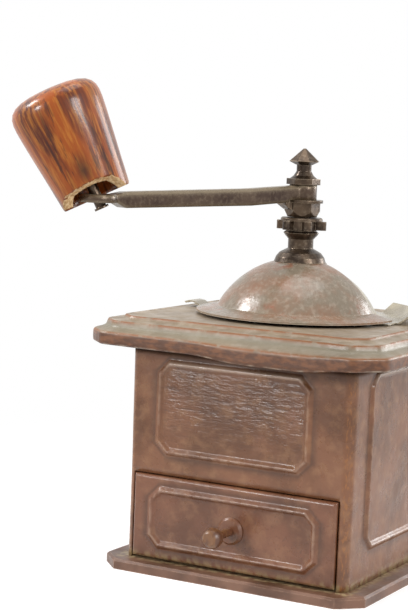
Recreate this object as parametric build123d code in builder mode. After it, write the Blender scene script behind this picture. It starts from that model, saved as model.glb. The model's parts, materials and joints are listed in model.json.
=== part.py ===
"""Box mill for poppy seed: pressed steel case, domed hopper, drawer, hand crank with a wooden knob.

Millimetres, +Z up, the drawer faces -Y. The origin is the centre of the flat underside, on the spindle.
"""

from build123d import *
from math import cos, radians, sin, sqrt
import os

# ---- driving dimensions ----------------------------------------------------------------------

SHEET = 0.8  # wall of the case sheets
THIN = 0.6  # wall of the drawer tray and the shutter
FIT = 0.05  # running fit of a shaft in its bore, on the radius
SLIDE = 0.3  # clearance between parts that move past each other
LIFT = 1.2  # how far the adjusting nut can raise the spindle

# base
PLINTH_MARGIN = 8.0  # how far the base stands out beyond the case
PLINTH_CORNER = 8.4
PLINTH_HEIGHT = 3.9
PLINTH_BEVEL = 0.8

# case
BODY_HALF = 47.0
BODY_RADIUS = 4.0
BODY_FLANGE = 5.0
BEAD_WIDTH = 3.0
BEAD_HEIGHT = 1.2
BEAD_BEVEL = 0.9
BEAD_CORNER = 4.0
FRONT_PANEL_X = -2.0
FRONT_PANEL_INSET = 15.8
FRONT_PANEL_RISE = 9.5  # lower bead of the front panel above the drawer's top edge
FRONT_PANEL_DROP = 6.6  # upper bead below the cover's rim
SIDE_PANEL_INSET = 16.0
SIDE_PANEL_RISE = 14.1  # lower bead of the side panels above the base
SIDE_PANEL_DROP = 4.9

# stepped top cover, from its flat top outwards and downwards
LID_TOP = 97.4
LID_TOP_MARGIN = 3.8  # flat top beyond the case walls
LID_STEP_RUN = 5.9
LID_COVE_RUN = 1.7
LID_RIM_RUN = 3.1
LID_STEP_DROP = 1.9
LID_COVE_DROP = 2.6
LID_RIM_DROP = 1.9
LID_SKIRT = 4.1
LID_CORNER = 9.2
LID_COVE_CORNER = 8.2
LID_STEP_CORNER = 7.6
LID_TOP_CORNER = 5.4

# hopper bowl and burrs
MOUTH_CLEARANCE = 0.15  # mouth inside the shutter's wall
BOWL_FLANGE = 6.0
BOWL_DEPTH = 31.4
BOWL_FLOOR_MARGIN = 0.5  # bowl's floor beyond the ring burr's flange
BOWL_BEND = 12.0
BURR_HEIGHT = 14.0
BURR_RADIUS = 17.5
BURR_WALL = 6.0
BURR_SLOPE = 15.0
BURR_FINEST_GAP = 0.35
BURR_FLANGE_RUN = 9.0
BURR_FLANGE = 3.0
BURR_TEETH = 16
TOOTH_DEPTH = 1.1
CONE_LIP = 0.5
CONE_TEETH = 12
BRIDGE_WIDTH = 8.0
BRIDGE_THICK = 2.5
BRIDGE_ROOM = 10.0  # bridge below the burrs
BRIDGE_BOSS = 5.0
BRIDGE_BOSS_HEIGHT = 5.0
SCREW_RADIUS = 1.5
SCREW_HEAD = 2.8
SCREW_HEAD_HEIGHT = 1.6

# dome and shutter
DOME_RADIUS = 35.4
DOME_SINK = 12.4  # centre of the dome's sphere below the cover's top
DOME_FOOT_RISE = 3.8
DOME_FLANGE_RISE = 1.2
DOME_FLANGE_RUN = 8.2
DOME_CROWN_MARGIN = 0.45  # full crown of the dome beyond the bush
DOME_EDGE_Y = 1.5
SHELL_GAP = 0.4
SHUTTER_EDGE_Y = -3.0
SHUTTER_FLANGE = 0.5
SHUTTER_FLANGE_MARGIN = 0.5  # shutter's flange beyond the dome's
SHUTTER_FOOT_RISE = 2.6
TAB_ANGLE = 178.0
TAB_WIDTH = 8.0
TAB_BEND_RUN = 1.8
TAB_CREST_RUN = 7.2
TAB_REACH_RUN = 9.0
TAB_CURL = 2.1
LEAF_START = 5.0
LEAF_SWEEP = 55.0
LEAF_BEND_RUN = 1.4
LEAF_REACH_RUN = 7.0
LEAF_RISE = 4.0
YOKE_THICK = 1.6
YOKE_WIDTH = 14.0
YOKE_LEG_DROP = 19.4
RIVET_RADIUS = 1.4
RIVET_HEAD = 2.4
RIVET_HEAD_HEIGHT = 1.0
RIVET_DROP = 14.9

# spindle
SPINDLE_RADIUS = 3.0
JOURNAL_RADIUS = 2.5
JOURNAL_TAIL = 0.25  # spindle's end above the boss's lower face
JOURNAL_RUN = 1.75  # journal's shoulder above the boss
SQUARE = 4.2
KEY_DEPTH = 0.65
KEY_SINK = 2.9
KEY_RISE = 4.6
FINIAL_THREAD = 1.9
BURR_NUT_AF = 10.0
BURR_NUT_HEIGHT = 3.6

# bearing bush: radii beyond its stem, heights above the dome's crown
STEM_WALL = 1.9
BUSH_FOOT_RUN = 5.2
BUSH_EDGE = 0.6
BUSH_WAIST_RUN = 4.5
BUSH_WAIST_RISE = 0.5
BUSH_SHOULDER_RUN = 3.15
BUSH_SHOULDER_RISE = 2.2
BUSH_NECK_RISE = 3.9
BUSH_NECK_HEIGHT = 3.6
BUSH_RING_RUN = 2.0
BUSH_RING_HEIGHT = 3.0
BUSH_NUT_RUN = 3.65
BUSH_NUT_HEIGHT = 3.4
STEM_TAIL = 1.2

# adjusting stack on the bush, each piece by its own height
WASHER_WALL = 3.0
WASHER_THICK = 0.5
NUT_WALL = 3.15
NUT_BARREL_HEIGHT = 3.4
NUT_FLANGE_RUN = 2.05
NUT_FLANGE_THICK = 1.3
NUT_BEVEL = 0.5
LUG_COUNT = 6
LUG_RUN = 3.75
LUG_WIDTH = 3.2
LUG_ANGLE = -47.3
HEX_HEIGHT = 5.5
HEX_CORNER = 6.93
HEX_ANGLE = -64.1
HEX_BEVEL = 1.2
TAB_WASHER_RADIUS = 8.0
TAB_WASHER_THICK = 1.1
TAB_WASHER_DROP = 2.7
TAB_WASHER_TIP_RUN = 1.6
TAB_WASHER_TIP_DROP = 0.8
TAB_WASHER_WING = 6.0

# crank
CRANK_RADIUS = 102.0
CRANK_ANGLE = -109.06
HUB_RADIUS = 5.4
HUB_HEIGHT = 5.9
ARM_WIDTH = 5.6
ARM_ROOT_RUN = 1.8  # where the arm deepens, beyond the washer under it
ARM_ROOT_STEP = 0.4
ARM_ROOT_DEPTH = 6.4
ARM_BEND = 30.0
ARM_BEND_DROP = 1.3
ARM_BEND_DEPTH = 6.3
ARM_STEP_RUN = 4.2
ARM_STEP_DROP = 1.3
ARM_STEP_DEPTH = 5.7
ARM_EDGE = 1.0
PAD_RADIUS = 6.8
PAD_NECK_RUN = 7.2
PAD_DROP = 0.9
PAD_THICK = 2.8

# finial nut
FINIAL_FLANGE = 6.6
FINIAL_FLANGE_THICK = 2.3
FINIAL_TURN = 25.9
FINIAL_FLARE = 5.4
FINIAL_WAIST_RUN = 1.0
FINIAL_WAIST_RISE = 1.2
FINIAL_NECK = 2.9
FINIAL_NECK_RISE = 2.9
FINIAL_NECK_HEIGHT = 2.5
FINIAL_RIM = 6.2
FINIAL_RIM_RISE = 1.3
FINIAL_TIP_RISE = 5.0
FINIAL_POINT = 0.5
FINIAL_SIDES = 8
SPINDLE_SHORT = 1.4  # spindle's end below the finial's cap

# handle knob and its pin
KNOB_LEAN = 26.4
KNOB_LEAN_ANGLE = -152.9
KNOB_SINK = 1.3  # knob's lower face below the top of the pad
KNOB_LOW_RADIUS = 12.5
KNOB_EDGE = 0.8
KNOB_MIDDLE_RADIUS = 14.4
KNOB_RADIUS = 16.5
KNOB_WIDE_AT = 32.5
KNOB_LENGTH = 41.5
KNOB_SHOULDER_RADIUS = 12.6
KNOB_SHOULDER_DROP = 2.5
KNOB_HOLLOW_CLEARANCE = 2.0
KNOB_HOLLOW_DEPTH = 5.2
KNOB_CHIP = 10.5
KNOB_CHIP_DEPTH = 6.2
PIN_RADIUS = 1.9
PIN_HEAD = 4.0
PIN_HEAD_HEIGHT = 2.2
PIN_SINK = 1.0
PIN_TAIL = 3.4
PIN_CLINCH = 2.6

# drawer
DRAWER_INSET = 4.3  # drawer's front inside the case's width
DRAWER_RISE = 0.9  # drawer above the base
DRAWER_HEIGHT = 32.2
DRAWER_PROUD = 1.45
DRAWER_EDGE = 4.4
DRAWER_BEND = 0.9
DRAWER_SIDE_GAP = 0.7
DRAWER_TOP_GAP = 0.5
TRAY_BACK_GAP = 1.2
TRAY_DROP = 3.0
DRAWER_PANEL_INSET = 8.2
DRAWER_PANEL_RISE = 5.7
DRAWER_PANEL_DROP = 5.4
DRAWER_BEAD_CORNER = 3.8
GUIDE_HEIGHT = 8.0
GUIDE_INSET = 7.2
GUIDE_LEDGE = 4.0
PULL_RISE = 15.6
PULL_BALL = 3.9
PULL_REACH = 13.9
PULL_FLAT = 3.2
PULL_STEM = 1.7
ROSETTE_RADIUS = 5.2
ROSETTE_THICK = 1.4
ROSETTE_CROWN = 0.9
PULL_NUT_RADIUS = 3.0
PULL_NUT_HEIGHT = 1.8

# ---- values worked out from them --------------------------------------------------------------

plinth_half = BODY_HALF + PLINTH_MARGIN
inner_wall = BODY_HALF - SHEET

lid_under = LID_TOP - SHEET
lid_step_z = LID_TOP - LID_STEP_DROP
lid_cove_z = lid_step_z - LID_COVE_DROP
lid_rim_top = lid_cove_z - LID_RIM_DROP
lid_bottom = lid_rim_top - LID_SKIRT
lid_top_half = BODY_HALF + LID_TOP_MARGIN
lid_step_half = lid_top_half + LID_STEP_RUN
lid_cove_half = lid_step_half + LID_COVE_RUN
lid_half = lid_cove_half + LID_RIM_RUN

drawer_half = BODY_HALF - DRAWER_INSET
drawer_low = PLINTH_HEIGHT + DRAWER_RISE
drawer_high = drawer_low + DRAWER_HEIGHT
drawer_panel_half = drawer_half - DRAWER_PANEL_INSET
front_face = -(BODY_HALF + DRAWER_PROUD)
tray_face = front_face + SHEET
tray_half = drawer_half - SHEET - FIT
tray_back = inner_wall - TRAY_BACK_GAP
tray_high = drawer_high - TRAY_DROP
pull_z = drawer_low + PULL_RISE

front_panel_half = BODY_HALF - FRONT_PANEL_INSET
front_panel_low = drawer_high + FRONT_PANEL_RISE
front_panel_high = lid_bottom - FRONT_PANEL_DROP
side_panel_half = BODY_HALF - SIDE_PANEL_INSET
side_panel_low = PLINTH_HEIGHT + SIDE_PANEL_RISE
side_panel_high = lid_bottom - SIDE_PANEL_DROP

dome_centre_z = LID_TOP - DOME_SINK
dome_foot_z = LID_TOP + DOME_FOOT_RISE
dome_flange_z = LID_TOP + DOME_FLANGE_RISE
dome_crown_z = dome_centre_z + DOME_RADIUS
rivet_z = LID_TOP - RIVET_DROP
dome_in = DOME_RADIUS - SHEET
shutter_out = dome_in - SHELL_GAP
shutter_in = shutter_out - THIN
shutter_foot_z = LID_TOP + SHUTTER_FOOT_RISE
shutter_wall = sqrt(shutter_out**2 - (shutter_foot_z - dome_centre_z) ** 2)
shutter_wall_in = shutter_wall - THIN

mouth_radius = shutter_wall_in - MOUTH_CLEARANCE
bowl_floor_z = LID_TOP - BOWL_DEPTH
burr_flange_radius = BURR_RADIUS + BURR_FLANGE_RUN
burr_throat = BURR_RADIUS - BURR_WALL
bowl_floor_radius = burr_flange_radius + BOWL_FLOOR_MARGIN
slope = sin(radians(BURR_SLOPE)) / cos(radians(BURR_SLOPE))
burr_low = bowl_floor_z - BURR_HEIGHT
bridge_low = burr_low - BRIDGE_ROOM
leg_in = BURR_RADIUS + SLIDE
screw_circle = (leg_in + BRIDGE_THICK + burr_flange_radius) / 2

stem_radius = SPINDLE_RADIUS + FIT + STEM_WALL
bush_foot = stem_radius + BUSH_FOOT_RUN
bush_neck_top = dome_crown_z + BUSH_NECK_RISE + BUSH_NECK_HEIGHT
bush_top = bush_neck_top + BUSH_RING_HEIGHT
nut_barrel = SPINDLE_RADIUS + NUT_WALL
washer_low = bush_top + 2 * FIT
nut_low = washer_low + WASHER_THICK + 2 * FIT
nut_flange_low = nut_low + NUT_BARREL_HEIGHT
nut_flange_top = nut_flange_low + NUT_FLANGE_THICK
hex_low = nut_flange_top + SLIDE
hex_top = hex_low + HEX_HEIGHT
tab_washer_top = hex_top + TAB_WASHER_THICK
hub_top = tab_washer_top + HUB_HEIGHT

pad_neck = CRANK_RADIUS - PAD_NECK_RUN
arm_root = TAB_WASHER_RADIUS + ARM_ROOT_RUN
arm_step = pad_neck - ARM_STEP_RUN
arm_root_top = hub_top - ARM_ROOT_STEP
arm_bend_top = arm_root_top - ARM_BEND_DROP
arm_step_top = arm_bend_top - ARM_STEP_DROP
pad_top = arm_step_top - PAD_DROP
pad_low = pad_top - PAD_THICK

finial_flange_top = hub_top + FINIAL_FLANGE_THICK
finial_neck_low = finial_flange_top + FINIAL_NECK_RISE
finial_neck_top = finial_neck_low + FINIAL_NECK_HEIGHT
finial_rim_z = finial_neck_top + FINIAL_RIM_RISE
finial_tip = finial_rim_z + FINIAL_TIP_RISE
spindle_top = finial_neck_top - SPINDLE_SHORT

knob_base_z = pad_top - KNOB_SINK
knob_hollow = PAD_RADIUS + KNOB_HOLLOW_CLEARANCE
crank_direction = (cos(radians(CRANK_ANGLE)), sin(radians(CRANK_ANGLE)))
crank_plane = Plane(
    origin=(0, 0, 0),
    x_dir=(crank_direction[0], crank_direction[1], 0),
    z_dir=(crank_direction[1], -crank_direction[0], 0),
)
knob_axis = (
    sin(radians(KNOB_LEAN)) * cos(radians(KNOB_LEAN_ANGLE)),
    sin(radians(KNOB_LEAN)) * sin(radians(KNOB_LEAN_ANGLE)),
    cos(radians(KNOB_LEAN)),
)
knob_plane = Plane(
    origin=(CRANK_RADIUS * crank_direction[0], CRANK_RADIUS * crank_direction[1], knob_base_z),
    x_dir=(sin(radians(KNOB_LEAN_ANGLE)), -cos(radians(KNOB_LEAN_ANGLE)), 0),
    z_dir=knob_axis,
)


def cut_square(half, corner):
    """Points of a square with its corners cut off, centred on the origin."""
    far = half
    near = half - corner
    return [
        (-near, -far), (near, -far), (far, -near), (far, near),
        (near, far), (-near, far), (-far, near), (-far, -near),
    ]


def cut_box(x_half, low, high, corner):
    """Points of an upright rectangle with cut corners, from low to high."""
    return [
        (-x_half + corner, low), (x_half - corner, low), (x_half, low + corner), (x_half, high - corner),
        (x_half - corner, high), (-x_half + corner, high), (-x_half, high - corner), (-x_half, low + corner),
    ]


def on_sphere(radius, sphere):
    """Height of a point of the dome's spheres at a distance from the axis."""
    return dome_centre_z + sqrt(sphere**2 - radius**2)


def save(piece, name):
    """Labels a finished piece and writes its file."""
    piece.part.label = name
    export_step(piece.part, "parts/" + name + ".step")


os.makedirs("parts", exist_ok=True)

# ---- base: a shallow pressed tray turned over, closed by a flat plate ----

with BuildPart() as plinth:
    with BuildSketch():
        Polygon(*cut_square(plinth_half, PLINTH_CORNER), align=None)
    extrude(amount=PLINTH_HEIGHT)
    chamfer(plinth.faces().sort_by(Axis.Z)[-1].edges(), length=PLINTH_BEVEL)
    with BuildSketch():
        Polygon(*cut_square(plinth_half - SHEET, PLINTH_CORNER - SHEET / 2), align=None)
    extrude(amount=PLINTH_HEIGHT - SHEET, mode=Mode.SUBTRACT)
save(plinth, "plinth")

with BuildPart() as base_plate:
    with BuildSketch():
        Polygon(*cut_square(plinth_half - SHEET - FIT, PLINTH_CORNER - SHEET / 2), align=None)
    extrude(amount=SHEET)
save(base_plate, "base_plate")

# ---- case: one sheet folded round, with pressed frames and the drawer's opening ----

front_plane = Plane(origin=(0, -BODY_HALF, 0), x_dir=(1, 0, 0), z_dir=(0, -1, 0))
right_plane = Plane(origin=(BODY_HALF, 0, 0), x_dir=(0, 1, 0), z_dir=(1, 0, 0))
back_plane = Plane(origin=(0, BODY_HALF, 0), x_dir=(-1, 0, 0), z_dir=(0, 1, 0))
left_plane = Plane(origin=(-BODY_HALF, 0, 0), x_dir=(0, -1, 0), z_dir=(-1, 0, 0))

front_bead = (FRONT_PANEL_X, front_panel_half, front_panel_low, front_panel_high)
side_bead = (0, side_panel_half, side_panel_low, side_panel_high)


def bead_ring(shift, half, low, high, corner):
    """Sketch of a pressed frame: a cut-cornered ring one bead wide round its centre line."""
    grow = BEAD_WIDTH / 2
    with Locations((shift, 0)):
        Polygon(*cut_box(half + grow, low - grow, high + grow, corner + grow / 2), align=None)
        Polygon(
            *cut_box(half - grow, low + grow, high - grow, corner - grow / 2),
            align=None,
            mode=Mode.SUBTRACT,
        )


with BuildPart() as body_shell:
    with BuildSketch(Plane.XY.offset(PLINTH_HEIGHT)):
        RectangleRounded(2 * BODY_HALF, 2 * BODY_HALF, BODY_RADIUS)
    extrude(amount=lid_under - PLINTH_HEIGHT)
    with BuildSketch(Plane.XY.offset(PLINTH_HEIGHT)):
        RectangleRounded(2 * inner_wall, 2 * inner_wall, BODY_RADIUS - SHEET)
    extrude(amount=lid_under - PLINTH_HEIGHT - SHEET, mode=Mode.SUBTRACT)
    with BuildSketch(Plane.XY.offset(lid_under - SHEET)):
        Rectangle(2 * (inner_wall - BODY_FLANGE), 2 * (inner_wall - BODY_FLANGE))
    extrude(amount=SHEET, mode=Mode.SUBTRACT)
    for face_plane, bead in (
        (front_plane, front_bead),
        (right_plane, side_bead),
        (back_plane, side_bead),
        (left_plane, side_bead),
    ):
        with BuildSketch(face_plane):
            bead_ring(*bead, BEAD_CORNER)
        extrude(amount=BEAD_HEIGHT)
        raised = body_shell.faces().sort_by(Axis(face_plane.origin, face_plane.z_dir))[-1]
        chamfer(raised.edges(), length=BEAD_BEVEL)
    with BuildSketch(front_plane):
        with Locations((0, PLINTH_HEIGHT)):
            Rectangle(
                2 * (drawer_half + DRAWER_SIDE_GAP),
                drawer_high + DRAWER_TOP_GAP - PLINTH_HEIGHT,
                align=(Align.CENTER, Align.MIN),
            )
    extrude(amount=-2 * SHEET, mode=Mode.SUBTRACT)
save(body_shell, "body_shell")

# ---- top cover: stepped and coved sheet with a deep turned-down rim ----

cover_levels = (
    (lid_half, LID_CORNER, lid_bottom),
    (lid_half, LID_CORNER, lid_rim_top),
    (lid_cove_half, LID_COVE_CORNER, lid_cove_z),
    (lid_step_half, LID_STEP_CORNER, lid_step_z),
    (lid_top_half, LID_TOP_CORNER, LID_TOP),
)

with BuildPart() as top_cover:
    for lower, upper in zip(cover_levels, cover_levels[1:]):
        for half, corner, z in (lower, upper):
            with BuildSketch(Plane.XY.offset(z)):
                Polygon(*cut_square(half, corner), align=None)
        loft(ruled=True)
    for lower, upper in zip(cover_levels, cover_levels[1:]):
        for half, corner, z in (lower, upper):
            drop = 0 if z == lid_bottom else SHEET
            with BuildSketch(Plane.XY.offset(z - drop)):
                Polygon(*cut_square(half - SHEET, corner - SHEET / 2), align=None)
        loft(ruled=True, mode=Mode.SUBTRACT)
    with BuildSketch(Plane.XY.offset(LID_TOP)):
        Circle(mouth_radius)
    extrude(amount=-2 * SHEET, mode=Mode.SUBTRACT)
save(top_cover, "top_cover")

# ---- hopper bowl soldered under the cover ----

bowl_top = lid_under - SHEET
with BuildPart() as hopper_bowl:
    with BuildSketch(Plane.XZ):
        with BuildLine():
            Polyline(
                (burr_throat, bowl_floor_z),
                (bowl_floor_radius, bowl_floor_z),
                (mouth_radius, bowl_floor_z + BOWL_BEND),
                (mouth_radius, bowl_top),
                (mouth_radius + BOWL_FLANGE, bowl_top),
                (mouth_radius + BOWL_FLANGE, lid_under),
                (mouth_radius - SHEET, lid_under),
                (mouth_radius - SHEET, bowl_floor_z + BOWL_BEND),
                (bowl_floor_radius - SHEET, bowl_floor_z + SHEET),
                (burr_throat, bowl_floor_z + SHEET),
                close=True,
            )
        make_face()
    revolve(axis=Axis.Z)
    with Locations((screw_circle, 0, bowl_floor_z), (-screw_circle, 0, bowl_floor_z)):
        Cylinder(SCREW_RADIUS + FIT, 4 * SHEET, mode=Mode.SUBTRACT)
    with Locations(Location((0, 0, rivet_z), (0, 90, 0))):
        Cylinder(RIVET_RADIUS + FIT, 2 * mouth_radius + SHEET, mode=Mode.SUBTRACT)
save(hopper_bowl, "hopper_bowl")

# ---- ring burr: fixed grinding ring hung under the bowl ----

throat_low = burr_throat + BURR_HEIGHT * slope
with BuildPart() as ring_burr:
    with BuildSketch(Plane.XZ):
        with BuildLine():
            Polyline(
                (throat_low, burr_low),
                (BURR_RADIUS, burr_low),
                (BURR_RADIUS, bowl_floor_z - BURR_FLANGE),
                (burr_flange_radius, bowl_floor_z - BURR_FLANGE),
                (burr_flange_radius, bowl_floor_z),
                (burr_throat, bowl_floor_z),
                close=True,
            )
        make_face()
    revolve(axis=Axis.Z)
    with BuildSketch(Plane.XZ):
        with BuildLine():
            Polyline(
                (throat_low - 1, burr_low - 1),
                (throat_low + TOOTH_DEPTH, burr_low - 1),
                (burr_throat + TOOTH_DEPTH, bowl_floor_z + 1),
                (burr_throat - 1, bowl_floor_z + 1),
                close=True,
            )
        make_face()
    ring_tooth = extrude(amount=TOOTH_DEPTH / 2, both=True, mode=Mode.PRIVATE)
    with PolarLocations(0, BURR_TEETH):
        add(ring_tooth, mode=Mode.SUBTRACT)
    with Locations((screw_circle, 0, bowl_floor_z), (-screw_circle, 0, bowl_floor_z)):
        Cylinder(SCREW_RADIUS + FIT, 3 * BURR_FLANGE, mode=Mode.SUBTRACT)
save(ring_burr, "ring_burr")

# ---- bridge under the burrs, which steadies the spindle's lower end ----

bridge_top = bowl_floor_z - BURR_FLANGE
boss_low = bridge_low + BRIDGE_THICK / 2 - BRIDGE_BOSS_HEIGHT / 2
boss_top = boss_low + BRIDGE_BOSS_HEIGHT
with BuildPart() as lower_bridge:
    with BuildSketch(Plane.XZ):
        with BuildLine():
            Polyline(
                (-burr_flange_radius, bridge_top),
                (-leg_in, bridge_top),
                (-leg_in, bridge_low + BRIDGE_THICK),
                (leg_in, bridge_low + BRIDGE_THICK),
                (leg_in, bridge_top),
                (burr_flange_radius, bridge_top),
                (burr_flange_radius, bridge_top - BRIDGE_THICK),
                (leg_in + BRIDGE_THICK, bridge_top - BRIDGE_THICK),
                (leg_in + BRIDGE_THICK, bridge_low),
                (-leg_in - BRIDGE_THICK, bridge_low),
                (-leg_in - BRIDGE_THICK, bridge_top - BRIDGE_THICK),
                (-burr_flange_radius, bridge_top - BRIDGE_THICK),
                close=True,
            )
        make_face()
    extrude(amount=BRIDGE_WIDTH / 2, both=True)
    with BuildSketch(Plane.XY.offset(boss_low)):
        Circle(BRIDGE_BOSS)
    extrude(amount=BRIDGE_BOSS_HEIGHT)
    with BuildSketch(Plane.XY.offset(boss_low)):
        Circle(JOURNAL_RADIUS + FIT)
    extrude(amount=BRIDGE_BOSS_HEIGHT, mode=Mode.SUBTRACT)
    with Locations((screw_circle, 0, bridge_top), (-screw_circle, 0, bridge_top)):
        Cylinder(SCREW_RADIUS + FIT, 3 * BRIDGE_THICK, mode=Mode.SUBTRACT)
save(lower_bridge, "lower_bridge")

screw_seat = bridge_top - BRIDGE_THICK
with BuildPart() as bridge_screws:
    for side in (-1, 1):
        with BuildSketch(Plane.XY.offset(screw_seat)):
            with Locations((side * screw_circle, 0)):
                Circle(SCREW_RADIUS)
        extrude(amount=BRIDGE_THICK + BURR_FLANGE + 2 * SHEET)
        with BuildSketch(Plane.XY.offset(screw_seat)):
            with Locations((side * screw_circle, 0)):
                Circle(SCREW_HEAD)
        extrude(amount=-SCREW_HEAD_HEIGHT)
save(bridge_screws, "bridge_screws")

# ---- yoke: arched strap inside the dome, riveted to the bowl ----

yoke_radius = mouth_radius - SHEET
yoke_leg_z = LID_TOP - YOKE_LEG_DROP
yoke_centre_z = dome_crown_z - SHEET - THIN - 2 * SHELL_GAP - yoke_radius
yoke_in = yoke_radius - YOKE_THICK
with BuildPart() as dome_yoke:
    with BuildSketch(Plane.XZ):
        with BuildLine():
            Line((-yoke_radius, yoke_leg_z), (-yoke_radius, yoke_centre_z))
            ThreePointArc(
                (-yoke_radius, yoke_centre_z), (0, yoke_centre_z + yoke_radius), (yoke_radius, yoke_centre_z)
            )
            Line((yoke_radius, yoke_centre_z), (yoke_radius, yoke_leg_z))
            Line((yoke_radius, yoke_leg_z), (yoke_in, yoke_leg_z))
            Line((yoke_in, yoke_leg_z), (yoke_in, yoke_centre_z))
            ThreePointArc((yoke_in, yoke_centre_z), (0, yoke_centre_z + yoke_in), (-yoke_in, yoke_centre_z))
            Line((-yoke_in, yoke_centre_z), (-yoke_in, yoke_leg_z))
            Line((-yoke_in, yoke_leg_z), (-yoke_radius, yoke_leg_z))
        make_face()
    extrude(amount=YOKE_WIDTH / 2, both=True)
    with Locations((0, 0, LID_TOP)):
        Cylinder(yoke_radius, 3 * yoke_radius, mode=Mode.INTERSECT)
    with Locations((0, 0, dome_centre_z)):
        Sphere(yoke_centre_z + yoke_radius - dome_centre_z, mode=Mode.INTERSECT)
    with Locations((0, 0, dome_centre_z + DOME_RADIUS)):
        Cylinder(stem_radius + FIT, DOME_RADIUS, mode=Mode.SUBTRACT)
    with Locations(Location((0, 0, rivet_z), (0, 90, 0))):
        Cylinder(RIVET_RADIUS + FIT, 3 * yoke_radius, mode=Mode.SUBTRACT)
save(dome_yoke, "dome_yoke")

with BuildPart() as yoke_rivets:
    for side in (-1, 1):
        rivet_plane = Plane(origin=(side * yoke_in, 0, rivet_z), x_dir=(0, 1, 0), z_dir=(side, 0, 0))
        with BuildSketch(rivet_plane):
            Circle(RIVET_RADIUS)
        extrude(amount=mouth_radius - yoke_in)
        with BuildSketch(rivet_plane):
            Circle(RIVET_HEAD)
        extrude(amount=-RIVET_HEAD_HEIGHT)
        with BuildSketch(rivet_plane.offset(mouth_radius - yoke_in)):
            Circle(RIVET_HEAD)
        extrude(amount=RIVET_HEAD_HEIGHT)
save(yoke_rivets, "yoke_rivets")

# ---- dome cover: the fixed front half of the hopper's dome, with a flared flange ----

foot_out = sqrt(DOME_RADIUS**2 - (dome_foot_z - dome_centre_z) ** 2)
dome_flange_radius = foot_out + DOME_FLANGE_RUN
shutter_flange_radius = dome_flange_radius + SHUTTER_FLANGE_MARGIN
dome_crown = bush_foot + DOME_CROWN_MARGIN
foot_in = sqrt(dome_in**2 - (dome_foot_z - dome_centre_z) ** 2)
dome_mid = DOME_RADIUS * 0.6
stem_hole = stem_radius + FIT
with BuildPart() as dome_cover:
    with BuildSketch(Plane.XZ):
        with BuildLine():
            ThreePointArc(
                (stem_hole, on_sphere(stem_hole, DOME_RADIUS)),
                (dome_mid, on_sphere(dome_mid, DOME_RADIUS)),
                (foot_out, dome_foot_z),
            )
            Line((foot_out, dome_foot_z), (dome_flange_radius, dome_flange_z + SHEET))
            Line((dome_flange_radius, dome_flange_z + SHEET), (dome_flange_radius, dome_flange_z))
            Line((dome_flange_radius, dome_flange_z), (foot_out, dome_foot_z - SHEET))
            Line((foot_out, dome_foot_z - SHEET), (foot_in, dome_foot_z))
            ThreePointArc(
                (foot_in, dome_foot_z),
                (dome_mid, on_sphere(dome_mid, dome_in)),
                (stem_hole, on_sphere(stem_hole, dome_in)),
            )
            Line((stem_hole, on_sphere(stem_hole, dome_in)), (stem_hole, on_sphere(stem_hole, DOME_RADIUS)))
        make_face()
    revolve(axis=Axis.Z)
    with BuildSketch(Plane.XY.offset(dome_centre_z)):
        with Locations((0, DOME_EDGE_Y)):
            Rectangle(3 * DOME_RADIUS, 2 * DOME_RADIUS, align=(Align.CENTER, Align.MIN))
        Circle(dome_crown, mode=Mode.SUBTRACT)
    extrude(amount=2 * DOME_RADIUS, mode=Mode.SUBTRACT)
save(dome_cover, "dome_cover")

# ---- shutter: the turning rear half, with a curled finger tab and a raised leaf ----

shutter_low = LID_TOP + SLIDE
shutter_high = shutter_low + SHUTTER_FLANGE
shutter_wall_in_z = on_sphere(shutter_wall_in, shutter_in)
shutter_hole = stem_radius + SHELL_GAP
shutter_crown = dome_crown - SHUTTER_FLANGE_MARGIN
tab_root = shutter_flange_radius - SHUTTER_FLANGE
tab_bend = shutter_flange_radius + TAB_BEND_RUN
tab_crest = shutter_flange_radius + TAB_CREST_RUN
tab_reach = shutter_flange_radius + TAB_REACH_RUN
leaf_bend = shutter_flange_radius + LEAF_BEND_RUN
leaf_reach = shutter_flange_radius + LEAF_REACH_RUN


def radial_plane(angle):
    """Upright plane through the spindle axis, its x pointing outwards at an angle from +X."""
    return Plane(
        origin=(0, 0, 0),
        x_dir=(cos(radians(angle)), sin(radians(angle)), 0),
        z_dir=(sin(radians(angle)), -cos(radians(angle)), 0),
    )


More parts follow.
